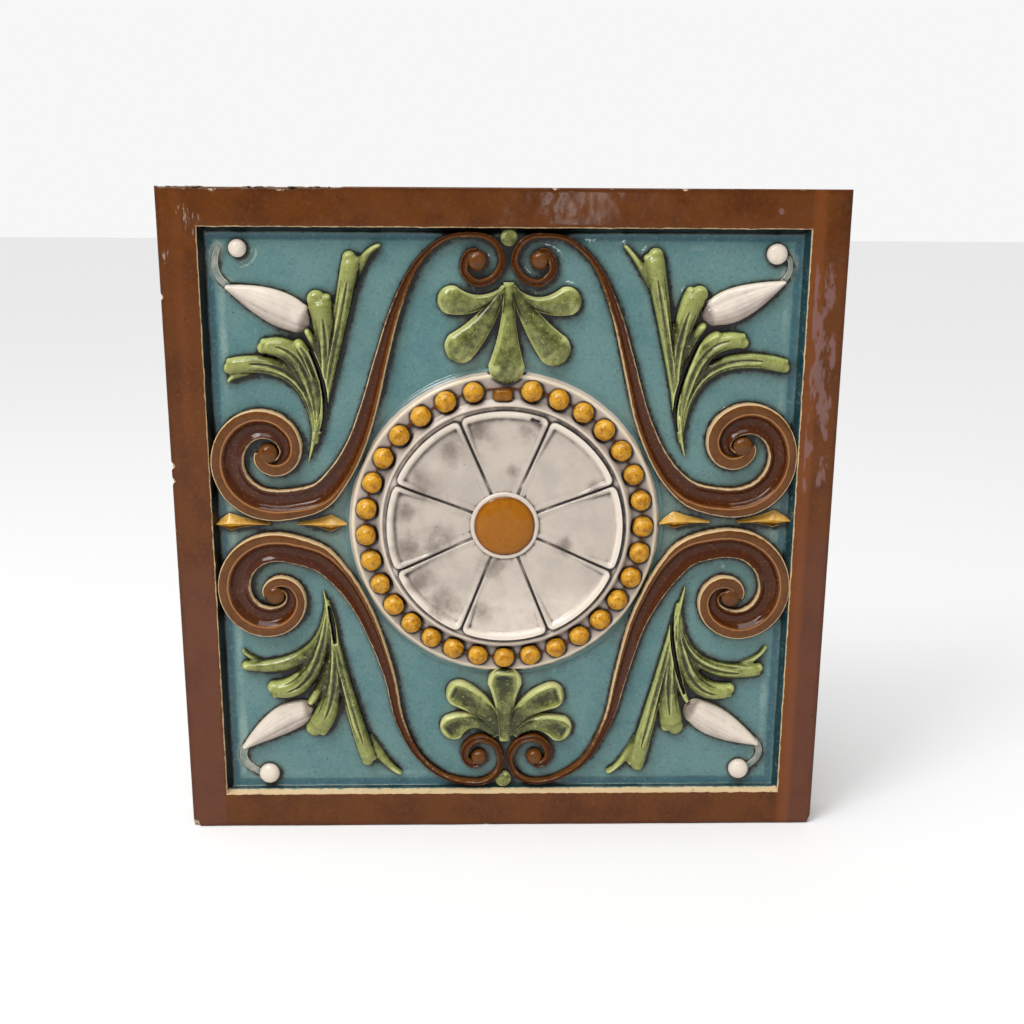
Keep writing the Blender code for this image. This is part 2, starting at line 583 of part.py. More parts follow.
def corner_chip_cutter(collection, parent):
    """Make the wedge that takes the chip out of the lower right corner's edge."""
    height = BODY_THICKNESS + BORDER_HEIGHT
    reach = CORNER_CHIP_LENGTH * 3
    tilt_angle = math.atan2(CORNER_CHIP_WIDTH, CORNER_CHIP_LENGTH)
    depth = CORNER_CHIP_WIDTH * math.cos(tilt_angle)
    shape = box_shape(Vector((depth * 2, reach, CORNER_CHIP_LENGTH * 2)), Vector((0.0, 0.0, 0.0)))
    tilt = Matrix.Rotation(-tilt_angle, 4, "Z")
    lean = Matrix.Rotation(-CORNER_CHIP_LEAN, 4, "Y")
    corner = Matrix.Translation((TILE_SIDE / 2, -TILE_SIDE / 2, height))
    bmesh.ops.transform(shape, matrix=corner @ tilt @ lean, verts=shape.verts)
    return add_object("corner_chip_cutter", shape, collection, parent)


def boolean(item, label, operation, operand):
    """Cut or join an object with another object, or with all the objects of a collection."""
    modifier = item.modifiers.new(label, "BOOLEAN")
    modifier.operation = operation
    modifier.solver = "EXACT"
    if isinstance(operand, bpy.types.Collection):
        modifier.operand_type = "COLLECTION"
        modifier.collection = operand
    else:
        modifier.object = operand
    return modifier


def carve_corners(collection, parent):
    """Model the scroll, leaf, bud and dot of every corner."""
    for corner, signs in CORNERS.items():
        scroll = SCROLLS[corner]
        add_object("scroll_%s" % corner, scroll_shape(scroll, signs), collection, parent)
        eye_x, eye_y = scroll["eye"]
        eye_radius = scroll["inner"][3]
        add_object("scroll_eye_%s" % corner,
                   dome_shape(eye_x * signs[0], eye_y * signs[1], eye_radius, EYE_HEIGHT),
                   collection, parent)
        ball_x, ball_y = scroll["ball"]
        add_object("spiral_ball_%s" % corner,
                   dome_shape(ball_x * signs[0], ball_y * signs[1], scroll["ball_radius"], BALL_HEIGHT),
                   collection, parent)
        for index, lobe in enumerate(LEAVES[corner]):
            name = "leaf_%s_%d" % (corner, index + 1)
            add_object(name, lobe_shape(lobe, signs, RIDGED), collection, parent)
        add_object("bud_%s" % corner, lobe_shape(BUDS[corner], signs, ROUNDED), collection, parent)
        add_object("bud_tail_%s" % corner, lobe_shape(TAILS[corner], signs, KEELED), collection, parent)
        dot_x, dot_y, dot_radius = DOTS[corner]
        add_object("dot_%s" % corner,
                   dome_shape(dot_x * signs[0], dot_y * signs[1], dot_radius, DOT_HEIGHT),
                   collection, parent)


def carve_centre_line(collection, parent):
    """Model the palmettes, their balls and the side darts."""
    as_seen = (1, 1)
    for label, lobes in (("top", TOP_PALMETTE), ("bottom", BOTTOM_PALMETTE)):
        for index, lobe in enumerate(lobes):
            add_object("palmette_%s_%d" % (label, index + 1), lobe_shape(lobe, as_seen, ROUNDED),
                       collection, parent)
    for index, (x, y, radius) in enumerate(CENTRE_BALLS):
        add_object("centre_ball_%d" % (index + 1), dome_shape(x, y, radius, DOT_HEIGHT),
                   collection, parent)
    for index, dart in enumerate(DARTS):
        shape = lobe_shape(dart, as_seen, KEELED, root_share=DART_ROOT_SHARE)
        add_object("dart_%d" % (index + 1), shape, collection, parent)


def carve_rosette(collection, parent):
    """Model the rosette's bed, petals, beads and button."""
    rosette_ring(collection, parent)
    for index in range(PETAL_COUNT):
        add_object("petal_%d" % (index + 1), petal_shape(index), collection, parent)
    rosette_button(collection, parent)
    rosette_beads(collection, parent)


def build_tile():
    """Build the tile: a bordered slab with a keyed back, and the carving joined to its ground."""
    clear_scene()
    parts = new_collection("relief_tile_parts")
    cutters = new_collection("relief_tile_cutters")
    carving = new_collection("relief_tile_carving")

    upright = bpy.data.objects.new("upright", None)
    upright.rotation_euler = (math.pi / 2, 0.0, 0.0)
    parts.objects.link(upright)

    height = BODY_THICKNESS + BORDER_HEIGHT
    slab = box_shape(Vector((TILE_SIDE, TILE_SIDE, height)), Vector((0.0, 0.0, height / 2)))
    tile = add_object("relief_tile", slab, parts, upright)
    tile.data.materials.append(glaze_material("brown_glaze", GLAZE_BROWN, 0.25))

    boolean(tile, "sink_field", "DIFFERENCE", field_cutter(cutters, upright))
    rounding = tile.modifiers.new("soft_edges", "BEVEL")
    rounding.width = EDGE_ROUNDING
    rounding.segments = 1
    rounding.limit_method = "ANGLE"
    rounding.angle_limit = math.radians(50)
    groove_group = new_collection("relief_tile_back_cutters")
    groove_cutters(groove_group, upright)
    corner_chip_cutter(groove_group, upright)
    boolean(tile, "key_back", "DIFFERENCE", groove_group)

    carve_rosette(carving, upright)
    carve_corners(carving, upright)
    carve_centre_line(carving, upright)
    for item in carving.objects:
        shade_round(item.data)
    boolean(tile, "join_carving", "UNION", carving)

    for group in (cutters, groove_group, carving):
        for item in group.objects:
            item.hide_render = True
            item.display_type = "WIRE"


build_tile()
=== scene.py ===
"""Dressed model of a moulded and glazed relief tile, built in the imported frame.

The tile's back lies on the plane Y = 0, its carved front looks towards -Y and Z runs up it. Carving
is drawn in plan units, shares of the field's own width, with x to the right and y up the tile, and
in levels, half border heights above the ground. Corner ornament is given outwards from the tile's
two centre lines, so that one set of classes serves all four corners.
"""

import logging
import math
from collections.abc import Sequence
from dataclasses import dataclass
from enum import Enum

import bpy
import numpy as np
from mathutils import Euler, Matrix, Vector


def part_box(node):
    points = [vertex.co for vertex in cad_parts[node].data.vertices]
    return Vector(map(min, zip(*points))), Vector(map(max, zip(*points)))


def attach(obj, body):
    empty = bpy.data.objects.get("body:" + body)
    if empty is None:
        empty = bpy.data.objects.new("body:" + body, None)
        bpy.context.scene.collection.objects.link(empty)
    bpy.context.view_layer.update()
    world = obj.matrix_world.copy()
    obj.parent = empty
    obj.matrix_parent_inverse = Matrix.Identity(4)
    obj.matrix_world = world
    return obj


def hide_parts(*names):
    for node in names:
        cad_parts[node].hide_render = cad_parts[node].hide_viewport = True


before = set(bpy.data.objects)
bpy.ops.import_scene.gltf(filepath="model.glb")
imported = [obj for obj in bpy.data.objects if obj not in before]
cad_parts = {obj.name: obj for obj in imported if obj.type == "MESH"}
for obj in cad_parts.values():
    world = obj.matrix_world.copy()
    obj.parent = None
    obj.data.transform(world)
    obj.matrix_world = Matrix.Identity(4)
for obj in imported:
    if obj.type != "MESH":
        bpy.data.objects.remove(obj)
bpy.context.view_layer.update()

NODE = "relief_tile"
BODY = "root"
QUARTER = math.pi / 2
# The level, below the ground, at which every carved form ends.
ROOT_LEVEL = -0.35
# How much stronger a photograph's contrast is than the studio's.
CONTRAST = 1.4
GLAZE_IOR = 1.43
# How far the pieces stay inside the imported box, in metres.
CLEARANCE = 0.00001
LOG = logging.getLogger("relief_tile")

Array = np.ndarray
Piece = bpy.types.Object
Material = bpy.types.Material
Socket = bpy.types.NodeSocket
Colour = tuple[float, float, float]
Spot = tuple[float, float, float]
Marks = dict[str, Array | float]


def seen(red: float, green: float, blue: float) -> Colour:
    """Turn a colour as a photograph shows it, 0 to 255, into a glaze's own linear colour.

    A photograph's contrast is stronger than the studio's, so the colour is deepened a little.

    Args:
        red: Red, 0 to 255.
        green: Green, 0 to 255.
        blue: Blue, 0 to 255.

    Returns:
        The linear colour.
    """
    shares = (red / 255, green / 255, blue / 255)
    linear = (share / 12.92 if share <= 0.04045 else ((share + 0.055) / 1.055) ** 2.4 for share in shares)
    return tuple(share ** CONTRAST for share in linear)


class Corner(Enum):
    """The tile's corners, with the signs of their outward directions as seen from the front."""

    TOP_LEFT = (-1, 1)
    TOP_RIGHT = (1, 1)
    BOTTOM_LEFT = (-1, -1)
    BOTTOM_RIGHT = (1, -1)

    @property
    def label(self) -> str:
        """Give the corner's name as pieces use it."""
        return self.name.lower()

    @property
    def seed(self) -> int:
        """Give the corner's place in the order, which chooses its unevenness."""
        return list(Corner).index(self)


class Slot(Enum):
    """The record's material slots."""

    BROWN = "brown_glaze"
    TEAL = "teal_glaze"
    GREEN = "green_glaze"
    WHITE = "white_glaze"
    OCHRE = "ochre_glaze"
    CLAY = "bare_clay"


class Section(Enum):
    """How a carved lobe is shaped across."""

    DROPLET = "droplet"
    SPOON = "spoon"
    TONGUE = "tongue"
    FLUTED = "fluted"
    RIBBON = "ribbon"
    FACETED = "faceted"


@dataclass(frozen=True)
class Gauge:
    """The tile's measures in metres, and the units and levels that its carving is drawn in."""

    side: float
    body: float = 0.0160
    border_height: float = 0.0060
    border_width: float = 0.0170
    border_draft: float = 0.0020
    field_units: float = 88.7

    @property
    def field_side(self) -> float:
        """Give the width that the border leaves."""
        return self.side - 2 * self.border_width

    @property
    def unit(self) -> float:
        """Give one plan unit in metres."""
        return self.field_side / self.field_units

    @property
    def level(self) -> float:
        """Give one relief level in metres."""
        return self.border_height / 2

    def place(self, x: Array, y: Array, level: Array) -> Array:
        """Turn plan places, in units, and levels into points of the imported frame, in metres."""
        x, y, level = np.broadcast_arrays(x, y, level)
        return np.stack([x * self.unit, -(self.body + level * self.level), y * self.unit], axis=-1)

    def plan(self, points: Array) -> Array:
        """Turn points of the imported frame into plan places, in units."""
        return points[..., (0, 2)] / self.unit


@dataclass(frozen=True)
class Lobe:
    """A carved lobe: three places with half widths, from root to end, and its height in levels."""

    root: Spot
    middle: Spot
    end: Spot
    height: float

    def at(self, share: Array) -> Array:
        """Give rows of x, y and half width at shares of its length."""
        return through_three((self.root, self.middle, self.end), share)


@dataclass(frozen=True)
class ScrollPlan:
    """One corner's scroll: its volute's radii at each quarter turn, its stem and its small spiral."""

    eye: tuple[float, float]
    outer: tuple[float, ...]
    inner: tuple[float, ...]
    stem: tuple[Spot, ...]
    ball: tuple[float, float]
    ball_radius: float
    spiral: tuple[float, ...]
    # How strongly a mauve reflection is painted on the channel's inner side.
    mauve_reflection: float


SCROLLS = {
    Corner.TOP_LEFT: ScrollPlan(
        eye=(35.7, 11.0), outer=(10.65, 8.35, 6.7, 5.0, 3.0, 1.9), inner=(5.9, 3.55, 2.4, 1.75, 0.7, 0.3),
        stem=((28.9, 4.1, 2.1), (25.5, 7.2, 1.75), (22.6, 12.0, 1.45), (20.4, 18.0, 1.25),
              (18.4, 25.2, 1.0), (16.1, 32.7, 0.75), (13.0, 39.1, 0.42), (8.8, 42.8, 0.30)),
        ball=(4.2, 39.7), ball_radius=1.5, spiral=(3.65, 3.7, 3.2, 1.7), mauve_reflection=1.0),
    Corner.TOP_RIGHT: ScrollPlan(
        eye=(36.0, 12.2), outer=(11.3, 8.1, 6.6, 5.4, 3.0, 1.9), inner=(6.8, 3.9, 1.9, 1.7, 0.7, 0.3),
        stem=((29.4, 4.4, 1.95), (25.7, 7.2, 1.6), (22.9, 11.3, 1.35), (20.5, 17.0, 1.15),
              (18.5, 24.5, 0.92), (16.4, 32.0, 0.70), (13.4, 38.8, 0.42), (9.3, 42.6, 0.30)),
        ball=(5.0, 39.8), ball_radius=1.4, spiral=(3.5, 3.7, 3.3, 1.8), mauve_reflection=0.25),
    Corner.BOTTOM_LEFT: ScrollPlan(
        eye=(35.5, 11.1), outer=(10.4, 8.5, 6.5, 4.6, 2.7, 1.8), inner=(5.9, 3.6, 2.0, 1.7, 0.7, 0.3),
        stem=((29.0, 4.9, 2.1), (25.6, 7.9, 1.7), (22.9, 11.8, 1.4), (20.5, 17.0, 1.15),
              (18.1, 24.5, 0.85), (16.6, 32.0, 0.65), (13.7, 38.2, 0.42), (9.3, 42.0, 0.30)),
        ball=(4.0, 38.6), ball_radius=1.3, spiral=(4.4, 3.5, 3.3, 2.2), mauve_reflection=0.85),
    Corner.BOTTOM_RIGHT: ScrollPlan(
        eye=(35.3, 11.6), outer=(11.5, 8.9, 6.5, 4.9, 3.2, 1.9), inner=(6.9, 4.2, 2.1, 1.8, 0.7, 0.3),
        stem=((28.9, 4.0, 2.2), (25.6, 7.2, 1.95), (22.9, 11.5, 1.6), (20.6, 16.7, 1.3),
              (18.5, 24.5, 1.0), (16.7, 32.0, 0.70), (13.3, 38.7, 0.42), (9.0, 42.0, 0.30)),
        ball=(4.9, 38.6), ball_radius=1.3, spiral=(4.3, 3.9, 3.4, 2.2), mauve_reflection=0.25),
}

LEAVES = {
    Corner.TOP_LEFT: (
        Lobe((29.7, 9.7, 0.1), (28.9, 12.6, 0.35), (28.2, 16.0, 0.6), 1.4),
        Lobe((28.7, 12.9, 0.2), (31.2, 22.3, 1.2), (40.1, 24.3, 1.25), 1.6),
        Lobe((37.2, 23.6, 0.7), (39.8, 22.9, 0.5), (41.1, 22.0, 0.25), 1.1),
        Lobe((28.4, 13.6, 0.2), (30.0, 23.9, 1.7), (35.0, 27.2, 1.2), 2.1),
        Lobe((28.2, 22.0, 0.7), (29.2, 25.2, 1.0), (30.5, 27.5, 0.8), 1.9),
        Lobe((28.5, 12.6, 0.40), (25.3, 26.6, 0.95), (22.6, 39.1, 1.4), 1.9),
        Lobe((22.6, 36.0, 0.9), (20.6, 40.0, 0.6), (18.4, 41.8, 0.3), 1.3),
        Lobe((27.9, 14.2, 0.30), (26.6, 24.6, 1.1), (27.1, 33.0, 1.85), 2.1),
        Lobe((27.0, 22.5, 0.4), (27.9, 26.5, 0.6), (29.2, 29.4, 0.5), 1.5)),
    Corner.TOP_RIGHT: (
        Lobe((27.4, 10.6, 0.1), (26.7, 13.4, 0.35), (26.3, 16.5, 0.6), 1.4),
        Lobe((26.8, 13.2, 0.2), (30.4, 23.4, 1.05), (41.2, 24.6, 1.1), 1.6),
        Lobe((26.6, 13.9, 0.2), (28.9, 24.9, 1.35), (34.6, 28.2, 1.2), 2.1),
        Lobe((27.6, 23.5, 0.5), (29.3, 26.9, 0.9), (31.4, 28.9, 0.7), 1.9),
        Lobe((26.7, 12.8, 0.40), (24.3, 27.0, 0.95), (21.8, 39.5, 1.55), 1.9),
        Lobe((21.8, 36.0, 0.8), (19.5, 39.4, 0.5), (17.5, 41.8, 0.3), 1.3),
        Lobe((26.3, 14.4, 0.30), (25.6, 25.2, 1.1), (27.8, 34.2, 1.7), 2.1),
        Lobe((26.0, 23.5, 0.4), (27.5, 27.7, 0.8), (29.3, 30.3, 0.6), 1.5)),
    Corner.BOTTOM_LEFT: (
        Lobe((28.1, 10.6, 0.1), (27.6, 13.0, 0.3), (27.2, 15.5, 0.5), 1.4),
        Lobe((27.8, 12.2, 0.2), (30.6, 20.8, 1.25), (40.6, 22.9, 0.7), 1.5),
        Lobe((37.8, 22.7, 0.5), (39.9, 21.5, 0.35), (41.0, 20.3, 0.15), 1.0),
        Lobe((27.6, 13.3, 0.2), (30.2, 23.4, 1.6), (35.4, 26.8, 1.45), 2.1),
        Lobe((27.6, 12.2, 0.40), (25.2, 25.5, 0.95), (21.8, 38.1, 1.3), 1.9),
        Lobe((21.9, 35.0, 0.8), (19.2, 39.1, 0.7), (16.6, 41.3, 0.25), 1.3),
        Lobe((27.1, 14.0, 0.30), (26.8, 25.0, 1.35), (29.2, 32.6, 1.85), 2.1),
        Lobe((26.9, 20.5, 0.4), (28.5, 25.5, 0.8), (30.6, 29.0, 0.6), 1.6)),
    Corner.BOTTOM_RIGHT: (
        Lobe((28.3, 10.0, 0.1), (27.6, 13.0, 0.3), (27.0, 16.0, 0.5), 1.4),
        Lobe((27.6, 12.8, 0.2), (30.3, 21.9, 1.1), (39.8, 23.9, 1.05), 1.5),
        Lobe((37.8, 23.2, 0.6), (40.0, 21.9, 0.35), (41.5, 20.0, 0.15), 1.0),
        Lobe((27.4, 13.8, 0.2), (29.6, 24.5, 1.5), (35.2, 27.3, 1.2), 2.1),
        Lobe((27.4, 12.8, 0.40), (24.5, 26.5, 0.95), (21.5, 39.0, 1.45), 1.9),
        Lobe((21.8, 35.2, 0.8), (19.4, 39.1, 0.6), (16.8, 41.3, 0.25), 1.3),
        Lobe((27.0, 14.2, 0.30), (26.2, 24.7, 1.3), (26.8, 32.3, 1.85), 2.1),
        Lobe((26.8, 21.5, 0.4), (27.9, 26.0, 0.6), (29.2, 29.0, 0.4), 1.5)),
}
SLITS = {
    Corner.TOP_LEFT: ((27.6, 14.6, 0.22), (26.9, 20.0, 0.42), (28.7, 26.4, 0.30)),
    Corner.TOP_RIGHT: ((26.0, 14.6, 0.22), (26.0, 20.5, 0.42), (29.0, 28.6, 0.34)),
    Corner.BOTTOM_LEFT: ((27.3, 13.2, 0.20), (26.8, 16.0, 0.40), (26.5, 19.0, 0.30)),
    Corner.BOTTOM_RIGHT: ((26.6, 13.5, 0.20), (26.7, 20.0, 0.36), (28.7, 27.6, 0.26)),
}
BUDS = {
    Corner.TOP_LEFT: Lobe((30.6, 31.4, 2.2), (34.9, 33.4, 2.3), (40.5, 35.7, 0.4), 1.9),
    Corner.TOP_RIGHT: Lobe((31.0, 32.4, 2.0), (35.1, 34.0, 2.3), (40.9, 36.7, 0.3), 1.9),
    Corner.BOTTOM_LEFT: Lobe((32.1, 30.8, 2.0), (36.0, 32.7, 2.1), (41.3, 36.5, 0.4), 1.8),
    Corner.BOTTOM_RIGHT: Lobe((30.9, 31.0, 2.1), (34.9, 33.3, 2.3), (40.6, 36.2, 0.4), 1.9),
}
TAILS = {
    Corner.TOP_LEFT: Lobe((40.0, 35.5, 0.5), (42.2, 37.9, 0.5), (41.9, 41.2, 0.4), 0.15),
    Corner.TOP_RIGHT: Lobe((40.6, 36.5, 0.4), (41.9, 38.3, 0.4), (41.7, 40.2, 0.3), 0.14),
    Corner.BOTTOM_LEFT: Lobe((41.0, 36.3, 0.5), (41.7, 39.2, 0.6), (38.9, 41.5, 0.5), 0.17),
    Corner.BOTTOM_RIGHT: Lobe((40.4, 36.0, 0.5), (41.4, 38.6, 0.5), (39.2, 41.0, 0.5), 0.20),
}
DOTS = {
    Corner.TOP_LEFT: (38.9, 41.3, 1.3),
    Corner.TOP_RIGHT: (39.8, 40.8, 1.5),
    Corner.BOTTOM_LEFT: (37.7, 41.4, 1.6),
    Corner.BOTTOM_RIGHT: (38.1, 41.0, 1.6),
}
TOP_PALMETTE = (
    Lobe((0.5, 36.6, 0.8), (0.4, 30.3, 1.2), (0.2, 24.4, 2.7), 2.6),
    Lobe((-0.1, 36.0, 0.5), (-3.2, 30.9, 1.5), (-6.6, 27.2, 2.4), 2.2),
    Lobe((1.0, 36.0, 0.5), (4.1, 30.8, 1.6), (7.2, 26.9, 2.5), 2.2),
    Lobe((-0.9, 35.2, 0.4), (-4.3, 33.6, 1.2), (-7.9, 34.0, 2.1), 2.0),
    Lobe((1.8, 35.1, 0.4), (5.2, 33.4, 1.1), (9.1, 33.9, 2.1), 2.0))
BOTTOM_PALMETTE = (
    Lobe((0.1, -35.6, 0.8), (0.1, -30.0, 1.4), (0.1, -25.8, 2.7), 2.6),
    Lobe((-0.6, -34.6, 0.6), (-3.2, -30.4, 1.6), (-7.1, -27.6, 2.1), 2.2),
    Lobe((0.9, -34.6, 0.6), (3.3, -30.4, 1.5), (7.5, -28.0, 2.1), 2.2),
    Lobe((-1.2, -34.9, 0.6), (-4.7, -32.4, 1.1), (-8.1, -33.3, 2.1), 2.0),
    Lobe((1.8, -34.9, 0.5), (5.0, -32.8, 1.1), (8.8, -33.6, 2.1), 2.0))
CENTRE_BALLS = {"top": (0.5, 43.0, 1.25), "bottom": (-0.1, -42.5, 1.3)}
DARTS = (
    Lobe((-44.4, 0.0, 0.1), (-42.0, 0.3, 1.35), (-36.0, 0.1, 0.15), 1.3),
    Lobe((-24.2, 0.0, 0.1), (-26.6, 0.1, 1.35), (-31.5, 0.1, 0.15), 1.3),
    Lobe((23.8, 0.1, 0.1), (26.2, 0.6, 1.35), (31.5, 0.4, 0.15), 1.3),
    Lobe((44.4, 0.5, 0.1), (41.6, 0.8, 1.35), (36.0, 0.4, 0.15), 1.3))

# Sooty places on the rosette, each with how far it reaches.
SOOT = ((-12.0, 6.3, 2.6), (-8.3, 11.8, 2.2), (-15.2, 2.2, 1.8), (-14.8, -3.2, 2.2), (-13.2, -8.8, 2.0),
        (-9.6, -12.6, 2.6), (-3.3, -14.0, 1.6), (-1.9, -6.4, 2.0), (-3.6, 14.8, 1.9), (3.2, 14.8, 1.6),
        (-10.5, -2.6, 2.2), (1.2, 8.4, 1.0), (4.6, 15.9, 1.2), (13.5, 6.0, 1.2), (9.0, -3.0, 1.2))
# The pale run of glaze by the right-hand scroll, and the flake missing from the top petal's rim.
PALE_RUN = ((33.8, -5.4, 0.35), (34.1, -6.9, 0.50), (34.0, -8.4, 0.30))
FLAKE = ((4.1, 16.5, 0.45), (4.9, 16.3, 0.35))


def full_turn(count: int) -> Array:
    """Give that many even angles round a full turn."""
    return np.linspace(0, 2 * math.pi, count, endpoint=False)


def beside(*parts: Array) -> Array:
    """Join arrays along their second axis."""
    return np.concatenate(parts, axis=1)


def ease(values: Array, low: float, high: float) -> Array:
    """Rise smoothly from 0 at the low value to 1 at the high one."""
    share = np.clip((np.asarray(values, float) - low) / (high - low), 0.0, 1.0)
    return share * share * (3 - 2 * share)


def hump(values: Array, centre: float, width: float) -> Array:
    """Give a soft hump of height 1 about a value, which has faded out at the width from it."""
    return np.clip(1 - ((np.asarray(values, float) - centre) / width) ** 2, 0.0, 1.0)


def oval(points: Array, centre: tuple[float, float], size: tuple[float, float]) -> Array:
    """Mark an oval place on the tile's front, fading outwards.

    Args:
        points: Points in metres.
        centre: The place's middle, across and up, in metres.
        size: How far it reaches, across and up, in metres.

    Returns:
        1 at its middle, falling to 0 outside.
    """
    across = (points[..., 0] - centre[0]) / size[0]
    up = (points[..., 2] - centre[1]) / size[1]
    return np.exp(-across ** 2 - up ** 2)


def through_three(spots: Sequence[Spot], share: Array) -> Array:
    """Interpolate smoothly through three rows that stand at shares 0, a half and 1."""
    weights = ((1 - share) * (1 - 2 * share), 4 * share * (1 - share), share * (2 * share - 1))
    return np.stack(weights, axis=1) @ np.array(spots)


def smooth_between(values: Sequence[float], positions: Array) -> Array:
    """Read a smooth curve through equally spaced values.

    Args:
        values: The values that the curve runs through.
        positions: Where it is read, counted in spacings from the first value.

    Returns:
        The curve's values.
    """
    known = np.asarray(values, float)
    padded = np.concatenate(([2 * known[0] - known[1]], known, [2 * known[-1] - known[-2]]))
    index = np.minimum(positions.astype(int), len(known) - 2)
    share = positions - index
    before, here, after, beyond = (padded[index + step] for step in range(4))
    return (here * (2 * share ** 3 - 3 * share ** 2 + 1)
            + (after - before) / 2 * (share ** 3 - 2 * share ** 2 + share)
            + after * (3 * share ** 2 - 2 * share ** 3)
            + (beyond - here) / 2 * (share ** 3 - share ** 2))


def evened(rows: Array, spacing: float) -> Array:
    """Read rows again at even distances along the path of their first two columns.

    Args:
        rows: One row for each station, with x and y first.
        spacing: About how far apart the new stations stand.

    Returns:
        The new rows.
    """
    steps = np.hypot(*np.diff(rows[:, :2], axis=0).T)
    reach = np.concatenate(([0.0], np.cumsum(steps)))
    count = max(int(round(reach[-1] / spacing)), 6)
    wanted = np.linspace(0.0, reach[-1], count + 1)
    return np.column_stack([np.interp(wanted, reach, column) for column in rows.T])


def square_to(places: Array) -> Array:
    """Give the directions square to a path's stations, on its left-hand side."""
    along = np.gradient(places, axis=0)
    along /= np.linalg.norm(along, axis=1, keepdims=True)
    return np.stack([-along[:, 1], along[:, 0]], axis=1)


def closeness(places: Array, curve: Sequence[Spot] | Array) -> Array:
    """Say how close plan places are to a curve with a width.

    Args:
        places: Places in units, with x and y along the last axis.
        curve: Rows of x, y and half width.

    Returns:
        1 on the curve, falling to 0 a few half widths from it.
    """
    rows = np.asarray(curve, float)
    reach = 3 * rows[:, 2].max()
    low = rows[:, :2].min(axis=0) - reach
    high = rows[:, :2].max(axis=0) + reach
    inside = np.all((places > low) & (places < high), axis=-1)
    gaps = places[inside][:, None, :] - rows[None, :, :2]
    found = np.zeros(places.shape[:-1])
    found[inside] = np.exp(-(gaps ** 2).sum(axis=-1) / rows[:, 2] ** 2).max(axis=1)
    return found


class Ripple:
    """Smooth unevenness made of seeded plane waves, the same on each run."""

    def __init__(self, seed: int, wavelength: float, waves: int = 18) -> None:
        """Draw the waves.

        Args:
            seed: Chooses the waves.
            wavelength: About how long they are, in metres.
            waves: How many there are.
        """
        draw = np.random.default_rng(seed)
        headings = draw.normal(size=(waves, 3))
        headings /= np.linalg.norm(headings, axis=1, keepdims=True)
        lengths = wavelength * draw.uniform(0.6, 1.8, size=(waves, 1))
        self.waves = headings * 2 * math.pi / lengths
        self.phases = draw.uniform(0, 2 * math.pi, size=waves)

    def at(self, points: Array) -> Array:
        """Read the unevenness.

        Args:
            points: Points in metres, with the coordinates along the last axis.

        Returns:
            Values about 0, which seldom pass -1 or 1.
        """
        total = np.zeros(points.shape[:-1])
        for wave, phase in zip(self.waves, self.phases):
            total += np.sin(points @ wave + phase)
        return total / math.sqrt(len(self.phases))


def ruffle(points: Array, seed: int, wavelength: float, depth: float | Array) -> None:
    """Add unevenness of that wavelength and depth, in metres, to how far points stand out."""
    points[..., 1] += depth * Ripple(seed, wavelength).at(points)


class Sketch:
    """Gathers closed bodies, as rings of points with named marks, into one mesh."""

    def __init__(self, name: str) -> None:
        """Start an empty sketch for a piece of that name."""
        self.name = name
        self.points: list[Array] = []
        self.faces: list[list[int]] = []
        self.marks: dict[str, list[tuple[int, Array]]] = {}
        self.count = 0

    def add(self, rings: Array, marks: Marks | None = None, ends_meet: bool = False) -> "Sketch":
        """Join rings of points into a closed body with its faces pointing out.

        Args:
            rings: Points, shaped (rings, points of a ring, 3).
            marks: Values for each point, shaped (rings, points of a ring), by name.
            ends_meet: Whether the last ring joins the first; if not, both get a cap.

        Returns:
            The sketch.
        """
        length, size = rings.shape[:2]
        index = np.arange(length * size).reshape(length, size)
        here = index if ends_meet else index[:-1]
        after = np.roll(index, -1, axis=0) if ends_meet else index[1:]
        quads = np.stack([here, np.roll(here, -1, axis=1), np.roll(after, -1, axis=1), after], axis=-1)
        quads = quads.reshape(-1, 4)
        caps = [] if ends_meet else [index[0][::-1], index[-1]]
        points = rings.reshape(-1, 3)
        if self.signed_volume(points, quads, caps) < 0:
            quads = quads[:, ::-1]
            caps = [cap[::-1] for cap in caps]
        self.faces += (quads + self.count).tolist()
        self.faces += [(cap + self.count).tolist() for cap in caps]
        for name, values in (marks or {}).items():
            spread = np.broadcast_to(values, (length, size)).reshape(-1)
            self.marks.setdefault(name, []).append((self.count, spread))
        self.points.append(points)
        self.count += len(points)
        return self

    @staticmethod
    def signed_volume(points: Array, quads: Array, caps: list[Array]) -> float:
        """Measure a closed body's volume, which is below 0 if its faces point in.

        Args:
            points: The body's points.
            quads: Its four-sided faces.
            caps: Its many-sided faces.

        Returns:
            Six times the volume.
        """
        around = points - points.mean(axis=0)
        triangles = [quads[:, (0, 1, 2)], quads[:, (0, 2, 3)]]
        for cap in caps:
            triangles.append(np.stack([np.full(len(cap) - 2, cap[0]), cap[1:-1], cap[2:]], axis=1))
        first, second, third = (around[np.concatenate(triangles)[:, corner]] for corner in range(3))
        return float(np.einsum("ij,ij->", first, np.cross(second, third)))

    def build(self, crease: float = 55.0) -> Piece:
        """Make the piece, shaded smooth apart from edges sharper than the crease, in degrees."""
        points = np.concatenate(self.points)
        mesh = bpy.data.meshes.new(self.name)
        mesh.from_pydata(points.tolist(), [], self.faces)
        mesh.shade_smooth()
        mesh.set_sharp_from_angle(angle=math.radians(crease))
        piece = bpy.data.objects.new(self.name, mesh)
        bpy.context.scene.collection.objects.link(piece)
        for name, parts in self.marks.items():
            values = np.zeros(len(points))
            for start, part in parts:
                values[start:start + len(part)] = part
            set_mark(piece, name, values)
        return piece


def set_mark(piece: Piece, name: str, values: Array) -> None:
    """Store a value for each point of a piece under a name, for its material to read."""
    layer = piece.data.attributes.get(name) or piece.data.attributes.new(name, "FLOAT", "POINT")
    layer.data.foreach_set("value", np.ascontiguousarray(values, dtype=np.float32))


